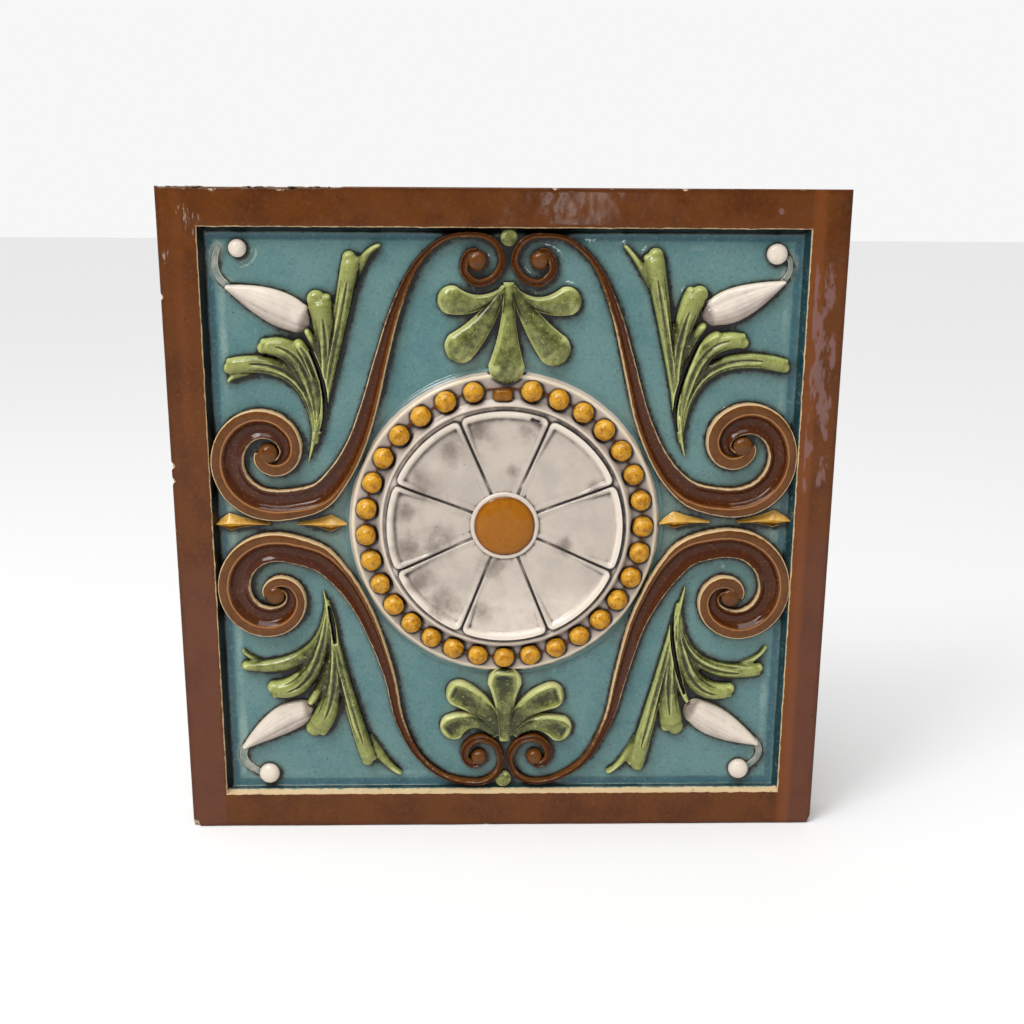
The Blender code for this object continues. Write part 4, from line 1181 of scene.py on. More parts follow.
@dataclass
class Border:
    """The raised brown border, mitred at its corners."""

    gauge: Gauge
    outer_rounding: float = 0.0009
    inner_rounding: float = 0.0006
    side_run: float = 0.0055
    side_run_wave: float = 0.0014
    skin: float = 0.0011
    face_steps: int = 13
    arc_steps: int = 5
    stations_a_side: int = 300
    chip_width: float = 0.0020
    chip_length: float = 0.0050
    nicks: tuple[Nick, ...] = (
        Nick(-0.1262, 0.150, 0.0018, 0.0011), Nick(-0.0970, 0.150, 0.0019, 0.0010),
        Nick(-0.1000, 0.150, 0.0012, 0.0007), Nick(-0.0915, 0.150, 0.0013, 0.0007),
        Nick(0.0210, 0.150, 0.0012, 0.0004), Nick(0.0770, 0.150, 0.0013, 0.0005),
        Nick(-0.1500, 0.103, 0.0012, 0.0005), Nick(-0.1500, 0.028, 0.0015, 0.0007),
        Nick(-0.1500, 0.021, 0.0013, 0.0006), Nick(-0.1490, -0.149, 0.0022, 0.0010),
        Nick(-0.0085, -0.150, 0.0010, 0.0005))

    def profile(self) -> tuple[Array, Marks]:
        """Draw the section from the outer side over the face to the inner arris, and under it.

        Returns:
            Points as distance in from the outer side and height from the back, and their marks.
        """
        top = self.gauge.body + self.gauge.border_height
        foot = top - self.side_run
        turn = np.linspace(0, QUARTER, self.arc_steps + 1)
        rows = [(0.0, foot + share * (self.side_run - self.outer_rounding), 0.0, 0.55)
                for share in (0.0, 0.5, 0.8)]
        for inward, drop in zip(1 - np.cos(turn), 1 - np.sin(turn)):
            rows.append((inward * self.outer_rounding, top - drop * self.outer_rounding,
                         0.5 * math.sin(math.pi * inward), 0.55))
        start, end = self.outer_rounding, self.gauge.border_width - self.inner_rounding
        for share in np.linspace(0, 1, self.face_steps + 1)[1:-1]:
            outer = 0.55 * (1 - ease(share, 0.0, 0.22))
            inner = 0.35 * ease(share, 0.80, 1.0)
            rows.append((start + share * (end - start), top, 0.0, float(outer + inner)))
        for inward, drop in zip(np.sin(turn), 1 - np.cos(turn)):
            rows.append((end + inward * self.inner_rounding, top - drop * self.inner_rounding,
                         0.35 + 0.65 * inward, 0.0))
        rows.append((self.gauge.border_width - 0.0005, top - 0.0016, 1.0, 0.0))
        rows.append((self.skin, top - 0.0022, 0.0, 0.55))
        rows.append((self.skin, foot + 0.0004, 0.0, 0.55))
        drawn = np.array(rows)
        return drawn[:, :2], {"arris": drawn[:, 2], "edge": drawn[:, 3]}

    @staticmethod
    def wear(points: Array) -> Marks:
        """Mark where the border is worn or scratched, where reflection is painted on it, and where it is
        warmer in colour.

        Args:
            points: The border's points.

        Returns:
            The marks.
        """
        x, z = points[..., 0], points[..., 2]
        right = ease(x, 0.1342, 0.1358)
        left = 1 - ease(x, -0.1345, -0.1325)
        bar = right * (1 - ease(x, 0.1464, 0.1482)) * ease(z, 0.002, 0.020) * (1 - ease(z, 0.116, 0.130))
        corner = oval(points, (-0.1365, 0.1365), (0.011, 0.013))
        outer = oval(points, (-0.1470, 0.1200), (0.0025, 0.012))
        return {
            # The worn patches are partly painted reflection, and the sheen is painted reflection.
            "wear_and_reflection": np.maximum(0.52 * bar, 0.56 * oval(points, (0.1195, 0.1405), (0.007, 0.004))),
            "scratch": 0.56 * np.maximum(corner, outer),
            "painted_reflection": left * (1 - ease(z, -0.06, 0.05)) + right * (1 - ease(z, -0.03, 0.03)),
            "warm": hump(x, 0.1362, 0.0050) + 0.6 * left * hump(x, -0.1412, 0.0050) * ease(z, -0.02, 0.06),
        }

    def chipped(self, points: Array) -> tuple[Array, Array]:
        """Break the lower right corner and nick the edges.

        Args:
            points: The border's points.

        Returns:
            The new points, and 1 where bare clay shows.
        """
        half = self.gauge.side / 2
        points = points.copy()
        tilt = math.atan2(self.chip_width, self.chip_length)
        reach = self.chip_width * math.cos(tilt)
        top = self.gauge.body + self.gauge.border_height
        fade = 1 - (top + points[..., 1]) / (1.2 * self.chip_length)
        inward = (half - points[..., 0]) * math.cos(tilt) + (points[..., 2] + half) * math.sin(tilt)
        short = np.clip(reach * np.clip(fade, 0, 1) - inward, 0, None)
        points[..., 0] -= short * math.cos(tilt)
        points[..., 2] += short * math.sin(tilt)
        chip = 0.35 * ease(short, 0.0, 0.0004)
        for nick in self.nicks:
            gap = np.hypot(points[..., 0] - nick.x, points[..., 2] - nick.z) / nick.radius
            near = (1 - ease(gap, 0.3, 1.3)) * ease(-points[..., 1], top - 0.003, top - 0.001)
            side = abs(abs(nick.x) - half) < abs(abs(nick.z) - half)
            axis, place = (0, nick.x) if side else (2, nick.z)
            points[..., axis] -= math.copysign(nick.depth, place) * near
            points[..., 1] += nick.depth * near
            chip = np.maximum(chip, near)
        return points, chip

    def build(self) -> Piece:
        """Make the border: sections swept round the tile, with worn edges and a chipped corner."""
        section, marks = self.profile()
        half = self.gauge.side / 2
        share = np.linspace(0.0, 1.0, self.stations_a_side, endpoint=False)
        reach = half - section[:, 0]
        along = (2 * share[:, None] - 1) * reach
        fixed = np.broadcast_to(reach, along.shape)
        sides = [(along, fixed), (fixed, -along), (-along, -fixed), (-fixed, along)]
        x, z = (np.concatenate([side[axis] for side in sides]) for axis in (0, 1))
        height = np.broadcast_to(section[:, 1], x.shape)
        points = np.stack([x, -height, z], axis=-1)
        low = ease(-height, -(self.gauge.body + 0.0015), -(self.gauge.body + 0.0002))
        points[..., 1] -= low * self.side_run_wave * Ripple(21, 0.016).at(points * (1, 0, 1))
        top = self.gauge.body + self.gauge.border_height
        face = ease(height, top - 0.0012, top - 0.0002)
        points[..., 1] += face * 0.00006 * (1 + Ripple(22, 0.022).at(points))
        points[..., 1] += face * 0.00002 * (1 + Ripple(23, 0.005).at(points))
        wander = marks["arris"] * 0.00014 * Ripple(24, 0.006).at(points)
        points[..., 0] += wander
        points[..., 2] += wander
        points[..., 2] -= ease(points[..., 2], half - 0.0016, half) * edge_wear(points[..., 0])
        points, chip = self.chipped(points)
        limit = half - CLEARANCE
        for axis in (0, 2):
            points[..., axis] = np.clip(points[..., axis], -limit, limit)
        spread = {name: np.broadcast_to(values, x.shape) for name, values in marks.items()}
        spread |= self.wear(points) | {"chip": chip}
        return Sketch("border").add(points, spread, ends_meet=True).build()


@dataclass
class Ground:
    """The sunk teal ground with the walls that rise to the border's arris."""

    gauge: Gauge
    relief: ReliefMap
    interior_steps: int = 274
    wall_top_drop: float = 0.00062
    thickness: float = 0.0050
    foot_rise: float = 0.10
    foot_rounding: float = 0.0016
    wall_rows: tuple[Spot, ...] = (
        (0.10, 0.16, 0.0), (0.28, 0.32, 0.0), (0.45, 0.50, 0.0), (0.62, 0.66, 0.0), (0.78, 0.80, 0.0),
        (0.90, 0.91, 0.25), (1.0, 1.0, 0.8))

    def stations(self) -> Array:
        """Give stations from one wall to the other: place, height in metres, and share as a lip."""
        foot = self.gauge.field_side / 2 - self.gauge.border_draft
        draft = self.gauge.border_draft * 1.03
        top = self.gauge.border_height - self.wall_top_drop
        wall = [(foot + share * draft, height * top, lip) for share, height, lip in self.wall_rows]
        wall.append((foot + draft + 0.0009, top - 0.0002, 1.0))
        wall = np.array(wall)
        inside = np.zeros((self.interior_steps, 3))
        inside[:, 0] = np.linspace(-foot, foot, self.interior_steps)
        return np.concatenate([wall[::-1] * (-1, 1, 1), inside, wall])

    def build(self) -> Piece:
        """Make the ground, with a soft rise at each form's foot."""
        place, height, lip = self.stations().T
        x, z = np.meshgrid(place, place)
        lift = np.maximum(height[None, :], height[:, None])
        lip_and_lit_wall = np.where(height[None, :] >= height[:, None], lip[None, :], lip[:, None])
        points = np.stack([x, 0 * x, z], axis=-1)
        foot = self.gauge.field_side / 2 - self.gauge.border_draft
        to_wall = foot - np.maximum(np.abs(x), np.abs(z))
        wall = ease(lift, 0.0, 0.0012)
        bottom = 1 - wall
        lift = lift + bottom * self.foot_rise * self.relief.read("heights", 0.0022, points)
        lift = lift + bottom * 0.0007 * (1 - ease(to_wall, 0.0, self.foot_rounding)) ** 2
        lift = lift + bottom * 0.00007 * Ripple(31, 0.020).at(points)
        lift = lift - wall * 0.00004 * Ripple(32, 0.006).at(points)
        points[..., 1] = -(self.gauge.body + lift)
        marks = self.grime_and_shade(points, to_wall, bottom)
        # The upper part of the bottom wall, which faces up, is painted pale as light.
        lip_and_lit_wall = np.maximum(lip_and_lit_wall, 0.85 * ease(lift, 0.0020, 0.0030) * (z < -foot))
        marks |= {"wall": wall * (1 - lip_and_lit_wall), "lip": lip_and_lit_wall}
        under = points[:, (-1, 0)].copy()
        under[..., 1] = -(self.gauge.body - self.thickness)
        padded = {name: np.pad(values, ((0, 0), (0, 2))) for name, values in marks.items()}
        return Sketch("ground").add(beside(points, under), padded).build()

    def grime_and_shade(self, points: Array, to_wall: Array, bottom: Array) -> Marks:
        """Mark where the glaze is grimy and painted with shadow and shade, and where it is grey, pooled or
        hazy.

        Args:
            points: The ground's points.
            to_wall: How far each is from the walls' feet, in metres.
            bottom: 1 on the ground and 0 on the walls.

        Returns:
            The marks.
        """
        read = self.relief.read
        x, z = points[..., 0] / self.gauge.unit, points[..., 2] / self.gauge.unit
        close = read("footprint", 0.0016, points)
        shadow_lower_right = read("footprint", 0.0024, points, 0.0008)
        upper_left = read("footprint", 0.0024, points, -0.0012)
        clear = 0.45 + 0.55 * ease(np.hypot(x, z), 24.6, 27.5)
        # near is grime and painted shadow, strongest just below and right of each form, where its shadow
        # falls.
        near = np.maximum(1.2 * close, 1.3 * shadow_lower_right) * clear
        beside = np.abs(x) > np.abs(z)
        # The left and top walls, and the wall foot beside them, are painted darker as shade.
        shaded_side = np.where(beside, x < 0, z > 0)
        foot_line = hump(to_wall, -0.0001, 0.0012) * (0.30 + 0.35 * shaded_side)
        run = np.where(beside, np.where(x < 0, 1.0, 0.75), np.where(z > 0, 0.45, 0.6))
        run = run + 0.25 * Ripple(33, 0.030).at(points)
        pocket = hump(z, 0.2, 5.5) * ease(np.abs(x), 24.0, 26.0)
        plan = self.gauge.plan(points)
        haze = closeness(plan, PALE_RUN)
        for corner in Corner:
            tail = TAILS[corner].at(np.linspace(0.0, 1.0, 12)) * (*corner.value, 1)
            tail[:, 2] = 1.5
            haze = np.maximum(haze, closeness(plan, tail))
        haze = np.maximum(haze, self.crescents(plan))
        return {
            "near": np.clip(near, 0, 1) * bottom + foot_line + 0.72 * shaded_side * (1 - bottom),
            "around": (1.1 * read("footprint", 0.0065, points) + 0.55 * pocket) * bottom,
            "pool": np.maximum(hump(to_wall, 0.0018, 0.0030), 0.8 * upper_left) * bottom,
            "streak": hump(to_wall, 0.0062, 0.0034) * run * bottom,
            "haze": haze * bottom,
        }

    @staticmethod
    def crescents(plan: Array) -> Array:
        """Mark the two pale lines of glaze below the upper left dot."""
        x, y, radius = DOTS[Corner.TOP_LEFT]
        turn = np.radians(np.linspace(-85, -5, 24))
        found = np.zeros(plan.shape[:-1])
        for reach in (radius + 0.7, radius + 1.4):
            arc = np.column_stack([reach * np.cos(turn) - x, reach * np.sin(turn) + y, np.full(24, 0.22)])
            found = np.maximum(found, closeness(plan, arc))
        return found


@dataclass
class Rosette:
    """The eight-petalled rosette: its bed, petals, beads, thread, button and collar."""

    gauge: Gauge
    button_radius: float = 4.7
    button_rise: float = 1.0
    petal_count: int = 8
    petal_inner: float = 4.95
    petal_radius: float = 17.95
    petal_gap: float = 0.19
    petal_corner: float = 0.9
    drop: float = 0.22
    rim_level: float = 2.5
    root_level: float = 1.5
    root_groove: float = 0.14
    dish_level: float = 1.1
    ring_level: float = 1.6
    foot_in_dish: float = 0.7
    lip_radius: float = 18.85
    lip_level: float = 1.7
    shelf_inner: float = 19.6
    shelf_outer: float = 23.3
    shelf_level: float = 1.0
    slope: float = 1.1
    bead_count: int = 32
    bead_radius: float = 1.66
    bead_circle: float = 21.2
    bead_top: float = 2.85
    bead_sink: float = 0.06
    bead_drift: float = math.radians(3.7)
    bead_drift_towards: float = math.radians(165)
    bead_segments: int = 30
    bead_rings: int = 20
    bead_least: float = 0.955
    bead_seed: int = 7
    turns: int = 480
    button_turns: int = 160
    ring_sides: int = 12
    surface_wave: float = 0.00008
    thread_wave: float = 0.00010
    collar_thickness: float = 0.42
    collar_gap: float = 0.16
    collar_level: float = 1.38
    thread_thickness: float = 0.20
    thread_level: float = 1.02
    stub_middle: float = -0.3
    stub_half_width: float = 1.45
    stub_half_height: float = 0.95
    dent_place: Spot = (-19.7, -8.9, 2.55)
    dent_heading: Spot = (-0.25, -0.85, -0.45)
    dent_reach: float = 1.3

    def turned(self, name: str, rows: Sequence[tuple[float, float]], marks: Marks, turns: int,
               ripple: tuple[int, float], drop: float = 0.0) -> Piece:
        """Turn a profile of radii and levels round the rosette's axis into a closed piece.

        Args:
            name: The piece's name.
            rows: Radii and levels, from the foot's middle round to the top's middle.
            marks: A value for each row, by name.
            turns: How many points go round.
            ripple: The seed and the wavelength of its unevenness.
            drop: How far below the axis it is set, in units.

        Returns:
            The piece.
        """
        angle = full_turn(turns)
        radius, level = np.array(rows).T[..., None]
        points = self.gauge.place(radius * np.cos(angle), radius * np.sin(angle) - drop, level)
        ruffle(points, *ripple, self.surface_wave)
        return Sketch(name).add(points, {mark: values[:, None] for mark, values in marks.items()}).build()

    def bed(self) -> Piece:
        """Make the bed: the dish between the petals, the lip, the shelf and the outer slope."""
        outer, inner, lip = self.shelf_outer, self.shelf_inner, self.lip_radius
        foot = outer + self.slope
        knots = [(0.4, ROOT_LEVEL), (foot + 0.35, ROOT_LEVEL), (foot + 0.10, 0.02), (foot - 0.25, 0.14),
                 (foot - 0.58, 0.42), (foot - 0.86, 0.72), (outer + 0.05, 0.98), (outer - 0.16, 1.10),
                 (outer - 0.40, 1.10), (outer - 0.70, self.shelf_level),
                 (inner + 1.6, self.shelf_level - 0.03), (inner + 0.25, self.shelf_level - 0.05),
                 (inner - 0.05, 1.10), (lip + 0.30, 1.52), (lip + 0.08, self.lip_level),
                 (lip - 0.14, self.lip_level), (lip - 0.34, 1.50),
                 (self.petal_radius + 0.25, self.ring_level), (self.petal_radius - 0.6, self.ring_level),
                 (5.0, self.root_level - self.root_groove), (0.4, self.dish_level)]
        rows = self.rounded(knots, 0.34)
        radius, level = np.array(rows).T
        upper = np.arange(len(rows)) > 2
        marks = {
            "fade": upper * ease(radius, outer + 0.15, outer + 0.85),
            "shelf": upper * hump(radius, self.bead_circle, 2.1),
            "arris": upper * hump(radius, outer - 0.10, 0.40) * (level > 0.9),
            "pale_and_lit": 0.8 * upper * hump(radius, lip - 0.02, 0.32),
        }
        return self.turned("rosette_bed", rows, marks, self.turns, (41, 0.010), self.drop)

    @staticmethod
    def rounded(knots: Sequence[tuple[float, float]], spacing: float) -> list[tuple[float, float]]:
        """Add points along a profile's longer runs, so that no step is much longer than the spacing.

        Args:
            knots: Radii and levels.
            spacing: The longest step over the top, in units.

        Returns:
            The finer profile.
        """
        fine = [knots[0], knots[1]]
        for start, end in zip(knots[1:], knots[2:]):
            steps = min(max(int(math.ceil(math.dist(start, end) / spacing)), 1), 6)
            for share in np.linspace(0, 1, steps + 1)[1:]:
                fine.append(tuple(np.array(start) * (1 - share) + np.array(end) * share))
        return fine

    def petal_net(self) -> tuple[Array, Array, Array, Array]:
        """Lay out half a petal, from its outer end inwards and from its side to its middle.

        Returns:
            Radius, distance in from the side, distance in from the end, and half width, all shaped
            (stations inwards, stations across).
        """
        near = np.array([0.0, 0.07, 0.16, 0.28, 0.42, 0.56, 0.70, 0.84, 1.0, 1.2, 1.45])
        ends = np.concatenate([near, np.linspace(1.8, self.petal_radius - self.petal_inner, 40)])
        radius = self.petal_radius - ends
        width = radius * math.sin(math.pi / self.petal_count) - self.petal_gap
        narrow = np.minimum(1.0, 0.8 * width / near[-1])
        rest = np.linspace(0, 1, 15)[1:]
        flank = near * narrow[:, None]
        middle = flank[:, -1:] + (width[:, None] - flank[:, -1:]) * rest
        side = beside(flank, middle)
        parts = (radius[:, None], side, ends[:, None], width[:, None])
        return tuple(np.broadcast_to(part, side.shape) for part in parts)

    def petal_levels(self, radius: Array, side: Array, end: Array,
                     width: Array) -> tuple[Array, Array]:
        """Shape a petal: a broad hollow inside a rim that is widest at the outer end.

        Args:
            radius: Each point's distance from the rosette's middle.
            side: Its distance in from the petal's side.
            end: Its distance in from the petal's outer end.
            width: The petal's half width there.

        Returns:
            The points' levels, and how brightly the rim shows at each.
        """
        share = (radius - self.petal_inner) / (self.petal_radius - self.petal_inner)
        crest = self.root_level + (self.rim_level - self.root_level) * share
        hollow = crest - 0.10 - 0.48 * ease(share, 0.30, 1.0) - 0.10 * share * ease(side / width, 0.1, 1.0)
        rim_width = 0.50 + 0.55 * ease(share, 0.55, 1.0)
        side_rim = 1 - ease(side / rim_width, 0.35, 1.0)
        end_rim = 1 - ease(end, 0.50, 1.35)
        rim = 1 - (1 - side_rim) * (1 - end_rim)
        outside = np.minimum(side, np.sqrt((end + 0.001) ** 2 + 0.02 * side))
        level = hollow + (crest - hollow) * rim
        level = level - 0.15 * (1 - ease(outside, 0, 0.26)) - 0.10 * (1 - ease(outside, 0, 0.08))
        level = level - 0.05 * hump(side, 0.95, 0.22) * (1 - ease(share, 0.30, 0.55))
        pale_and_lit = np.maximum(end_rim, side_rim * (0.30 + 0.25 * ease(share, 0.5, 0.95)))
        return level, pale_and_lit * ease(outside, 0.05, 0.25)

    def petal(self, sketch: Sketch, index: int) -> None:
        """Add one petal, falling towards the button.

        Args:
            sketch: Where the petal goes.
            index: Which petal.
        """
        radius, side, end, width = self.petal_net()
        level, pale_and_lit = self.petal_levels(radius, side, end, width)
        corner = self.petal_corner
        drop = corner - np.sqrt(corner ** 2 - (corner - np.clip(side, 0, corner)) ** 2)
        radius = radius - drop * (1 - ease(end, 0.0, 3.0))
        half_turn = math.pi / self.petal_count
        turn = half_turn - np.arcsin(np.clip((self.petal_gap + side) / radius, 0, math.sin(half_turn)))
        middle_turn = 2 * math.pi * index / self.petal_count
        turn = beside(middle_turn - turn, (middle_turn + turn)[:, -2::-1])
        radius, level, pale_and_lit = (beside(part, part[:, -2::-1]) for part in (radius, level, pale_and_lit))
        sunk = self.drop * ease(radius, 6.0, 16.0)
        points = self.gauge.place(radius * np.cos(turn), radius * np.sin(turn) - sunk, level)
        ruffle(points, 50 + index, 0.011, self.surface_wave)
        rings = np.pad(points, ((1, 1), (1, 1), (0, 0)), mode="edge")
        foot = -(self.gauge.body + (self.dish_level - self.foot_in_dish) * self.gauge.level)
        for rim in (rings[0], rings[-1], rings[:, 0], rings[:, -1]):
            rim[:, 1] = foot
        plan = self.gauge.plan(rings)
        soot = 0.72 * closeness(plan, np.array(SOOT) * (1, 1, 1.35))
        # The lower petals are painted paler, as lit from above.
        pale_and_lit = np.maximum(np.pad(pale_and_lit, 1), 0.58 * ease(-plan[..., 1], 5.0, 13.0))
        sketch.add(rings, {"pale_and_lit": pale_and_lit, "soot": soot, "flake": closeness(plan, FLAKE)})

    def petals(self) -> Piece:
        """Make all the petals."""
        sketch = Sketch("rosette_petals")
        for index in range(self.petal_count):
            self.petal(sketch, index)
        return sketch.build()

    def button(self) -> Piece:
        """Make the domed ochre button."""
        foot = self.dish_level - self.foot_in_dish
        turn = np.linspace(QUARTER, 0.0, 31)
        radius = np.maximum(self.button_radius * np.sin(turn) ** 0.92, 0.05)
        level = self.root_level + self.button_rise * np.cos(turn)
        rows = [(0.05, foot), (self.button_radius, foot), *zip(radius, level)]
        marks = {"plain": np.ones(len(rows)), "rim_dark": 0.8 * ease(np.array(rows)[:, 0], 3.3, 4.7)}
        return self.turned("rosette_button", rows, marks, self.button_turns, (61, 0.008))

    def ring(self, name: str, circle: float, thick: Array, level: float, drop: float,
             marks: Marks) -> Piece:
        """Make a ring of round section.

        Args:
            name: The piece's name.
            circle: The ring's radius, in units.
            thick: Its section's radius at each station round it.
            level: The level of its middle.
            drop: How far below the axis it is set, in units.
            marks: Marks that are the same all over it.

        Returns:
            The piece.
        """
        angle, around = full_turn(len(thick))[:, None], full_turn(self.ring_sides)
        radius = circle + thick[:, None] * np.cos(around)
        height = level + 0.9 * thick[:, None] * np.sin(around)
        points = self.gauge.place(radius * np.cos(angle), radius * np.sin(angle) - drop, height)
        ruffle(points, 62, 0.006, self.thread_wave)
        return Sketch(name).add(points, marks, ends_meet=True).build()

    def collar(self) -> Piece:
        """Make the white collar round the button."""
        thick = np.full(200, self.collar_thickness)
        circle = self.button_radius + self.collar_gap
        return self.ring("button_collar", circle, thick, self.collar_level, 0.0, {"pale_and_lit": 0.6})

    def thread(self) -> Piece:
        """Make the thin, uneven thread that runs from bead to bead."""
        angle = full_turn(640)
        thick = self.thread_thickness * (1 + 0.45 * np.sin(angle * 37 + 1.0) * np.sin(angle * 13))
        marks = {"rim_dark": 1.0, "shade": 1.0}
        return self.ring("bead_thread", self.bead_circle, thick, self.thread_level, self.drop, marks)

    def bead_tree(self, material: Material) -> bpy.types.NodeTree:
        """Build the Geometry Nodes that set beads round a circle, with a gap for the covered one.

        Args:
            material: The beads' material.

        Returns:
            The node tree.
        """
        tree = bpy.data.node_groups.new("beads_round_a_circle", "GeometryNodeTree")
        tree.interface.new_socket("Geometry", in_out="OUTPUT", socket_type="NodeSocketGeometry")
        kinds = {"Count": "Int", "Circle Radius": "Float", "Bead Radius": "Float", "Height Stretch": "Float",
                 "Left Out": "Int", "Least Size": "Float", "Seed": "Int"}
        for name, kind in kinds.items():
            tree.interface.new_socket(name, in_out="INPUT", socket_type="NodeSocket%s" % kind)
        work = NodeWork(tree)
        given = work.node("NodeGroupInput").outputs
        circle = work.node("GeometryNodeMeshCircle", {}, {
            "Vertices": given["Count"], "Radius": given["Circle Radius"]})
        covered = work.node("FunctionNodeCompare", {"data_type": "INT", "operation": "EQUAL"}, {
            "A_INT": work.node("GeometryNodeInputIndex").outputs["Index"], "B_INT": given["Left Out"]})
        kept = work.node("GeometryNodeDeleteGeometry", {}, {
            "Geometry": circle.outputs["Mesh"], "Selection": covered.outputs["Result"]})
        bead = work.node("GeometryNodeMeshUVSphere", {}, {
            "Segments": self.bead_segments, "Rings": self.bead_rings, "Radius": given["Bead Radius"]})
        size = work.output(work.node("FunctionNodeRandomValue", {"data_type": "FLOAT"}, {
            "Min_001": given["Least Size"], "Max_001": 1.0, "Seed": given["Seed"]}), "Value_001")
        tall = work.node("ShaderNodeMath", {"operation": "MULTIPLY"}, {
            "Value": size, "Value_001": given["Height Stretch"]})
        scale = work.node("ShaderNodeCombineXYZ", {}, {"X": size, "Y": size, "Z": tall.outputs[0]})
        spread = work.node("GeometryNodeInstanceOnPoints", {}, {
            "Points": kept.outputs["Geometry"], "Instance": bead.outputs["Mesh"],
            "Scale": scale.outputs["Vector"]})
        real = work.node("GeometryNodeRealizeInstances", {}, {"Geometry": spread.outputs["Instances"]})
        coat = work.node("GeometryNodeSetMaterial", {}, {
            "Geometry": real.outputs["Geometry"], "Material": material})
        work.node("NodeGroupOutput", {}, {"Geometry": coat.outputs["Geometry"]})
        return tree

    def beads(self, material: Material) -> Piece:
        """Make the beads, apart from the one that the palmette covers.

        Args:
            material: Their material.

        Returns:
            The beads as one piece.
        """
        gauge = self.gauge
        seat = self.shelf_level - self.bead_sink
        radius = self.bead_radius * gauge.unit
        tree = self.bead_tree(material)
        piece = bpy.data.objects.new("rosette_beads", bpy.data.meshes.new("rosette_beads"))
        bpy.context.scene.collection.objects.link(piece)
        modifier = piece.modifiers.new("beads", "NODES")
        modifier.node_group = tree
        values = {"Count": self.bead_count, "Circle Radius": self.bead_circle * gauge.unit,
                  "Bead Radius": radius, "Height Stretch": (self.bead_top - seat) * gauge.level / radius,
                  "Left Out": self.bead_count // 4, "Least Size": self.bead_least, "Seed": self.bead_seed}
        for item in tree.interface.items_tree:
            if item.in_out == "INPUT":
                modifier[item.identifier] = values[item.name]
        settle(piece, modifier)
        flat = self.drifted(points_of(piece).reshape(self.bead_count - 1, -1, 3)).reshape(-1, 3)
        points = np.stack([flat[:, 0], -(gauge.body + seat * gauge.level + flat[:, 2]),
                           flat[:, 1] - self.drop * gauge.unit], axis=1)
        points[:, 1] = np.minimum(points[:, 1], -(gauge.body + (seat - 0.6) * gauge.level))
        lumps = 0.00012 * Ripple(71, 0.0050).at(points)
        top = -(gauge.body + self.bead_top * gauge.level)
        points[:, 0] += lumps
        points[:, 2] += 0.7 * lumps
        points[:, 1] = np.maximum(points[:, 1] + np.abs(lumps), top)
        move_points(piece, self.dented(points))
        piece.data.shade_smooth()
        return piece

    def drifted(self, beads: Array) -> Array:
        """Turn the beads on the left a little further round the circle.

        Args:
            beads: Flat points, shaped (beads, points of a bead, 3).

        Returns:
            The new points.
        """
        middle = beads.mean(axis=1)
        turn = np.arctan2(middle[:, 1], middle[:, 0])
        drift = self.bead_drift * np.clip(np.cos(turn - self.bead_drift_towards), 0, None)
        cosine, sine = np.cos(drift)[:, None], np.sin(drift)[:, None]
        return np.stack([beads[..., 0] * cosine - beads[..., 1] * sine,
                         beads[..., 0] * sine + beads[..., 1] * cosine, beads[..., 2]], axis=-1)

    def dented(self, points: Array) -> Array:
        """Flatten the outer side of the bead that lost a flake of glaze.

        Args:
            points: The beads' points.

        Returns:
            The new points.
        """
        spot = self.gauge.place(*self.dent_place)
        heading = np.array(self.dent_heading)
        heading /= np.linalg.norm(heading)
        beyond = (points - spot) @ heading
        reach = self.dent_reach * self.bead_radius * self.gauge.unit
        close = np.linalg.norm(points - spot, axis=1) < reach
        return points - np.where(close, np.clip(beyond, 0, None), 0)[:, None] * heading

    def stub(self) -> Piece:
        """Make the flattened bead under the top palmette."""
        tall = self.stub_half_height
        turn = np.linspace(math.radians(89), math.radians(-30), 18)[:, None]
        angle = full_turn(40)
        across, up = (np.sign(part) * np.abs(part) ** 0.6 for part in (np.cos(angle), np.sin(angle)))
        x = self.stub_middle + self.stub_half_width * np.cos(turn) * across
        y = self.bead_circle - tall - self.drop + tall * np.cos(turn) * up
        rise = np.sign(np.sin(turn)) * np.abs(np.sin(turn)) ** 0.7
        points = self.gauge.place(x, y, self.shelf_level - self.bead_sink + tall * rise)
        ruffle(points, 72, 0.004, self.thread_wave)
        return Sketch("covered_bead").add(points, {"rim_dark": 0.9}).build()


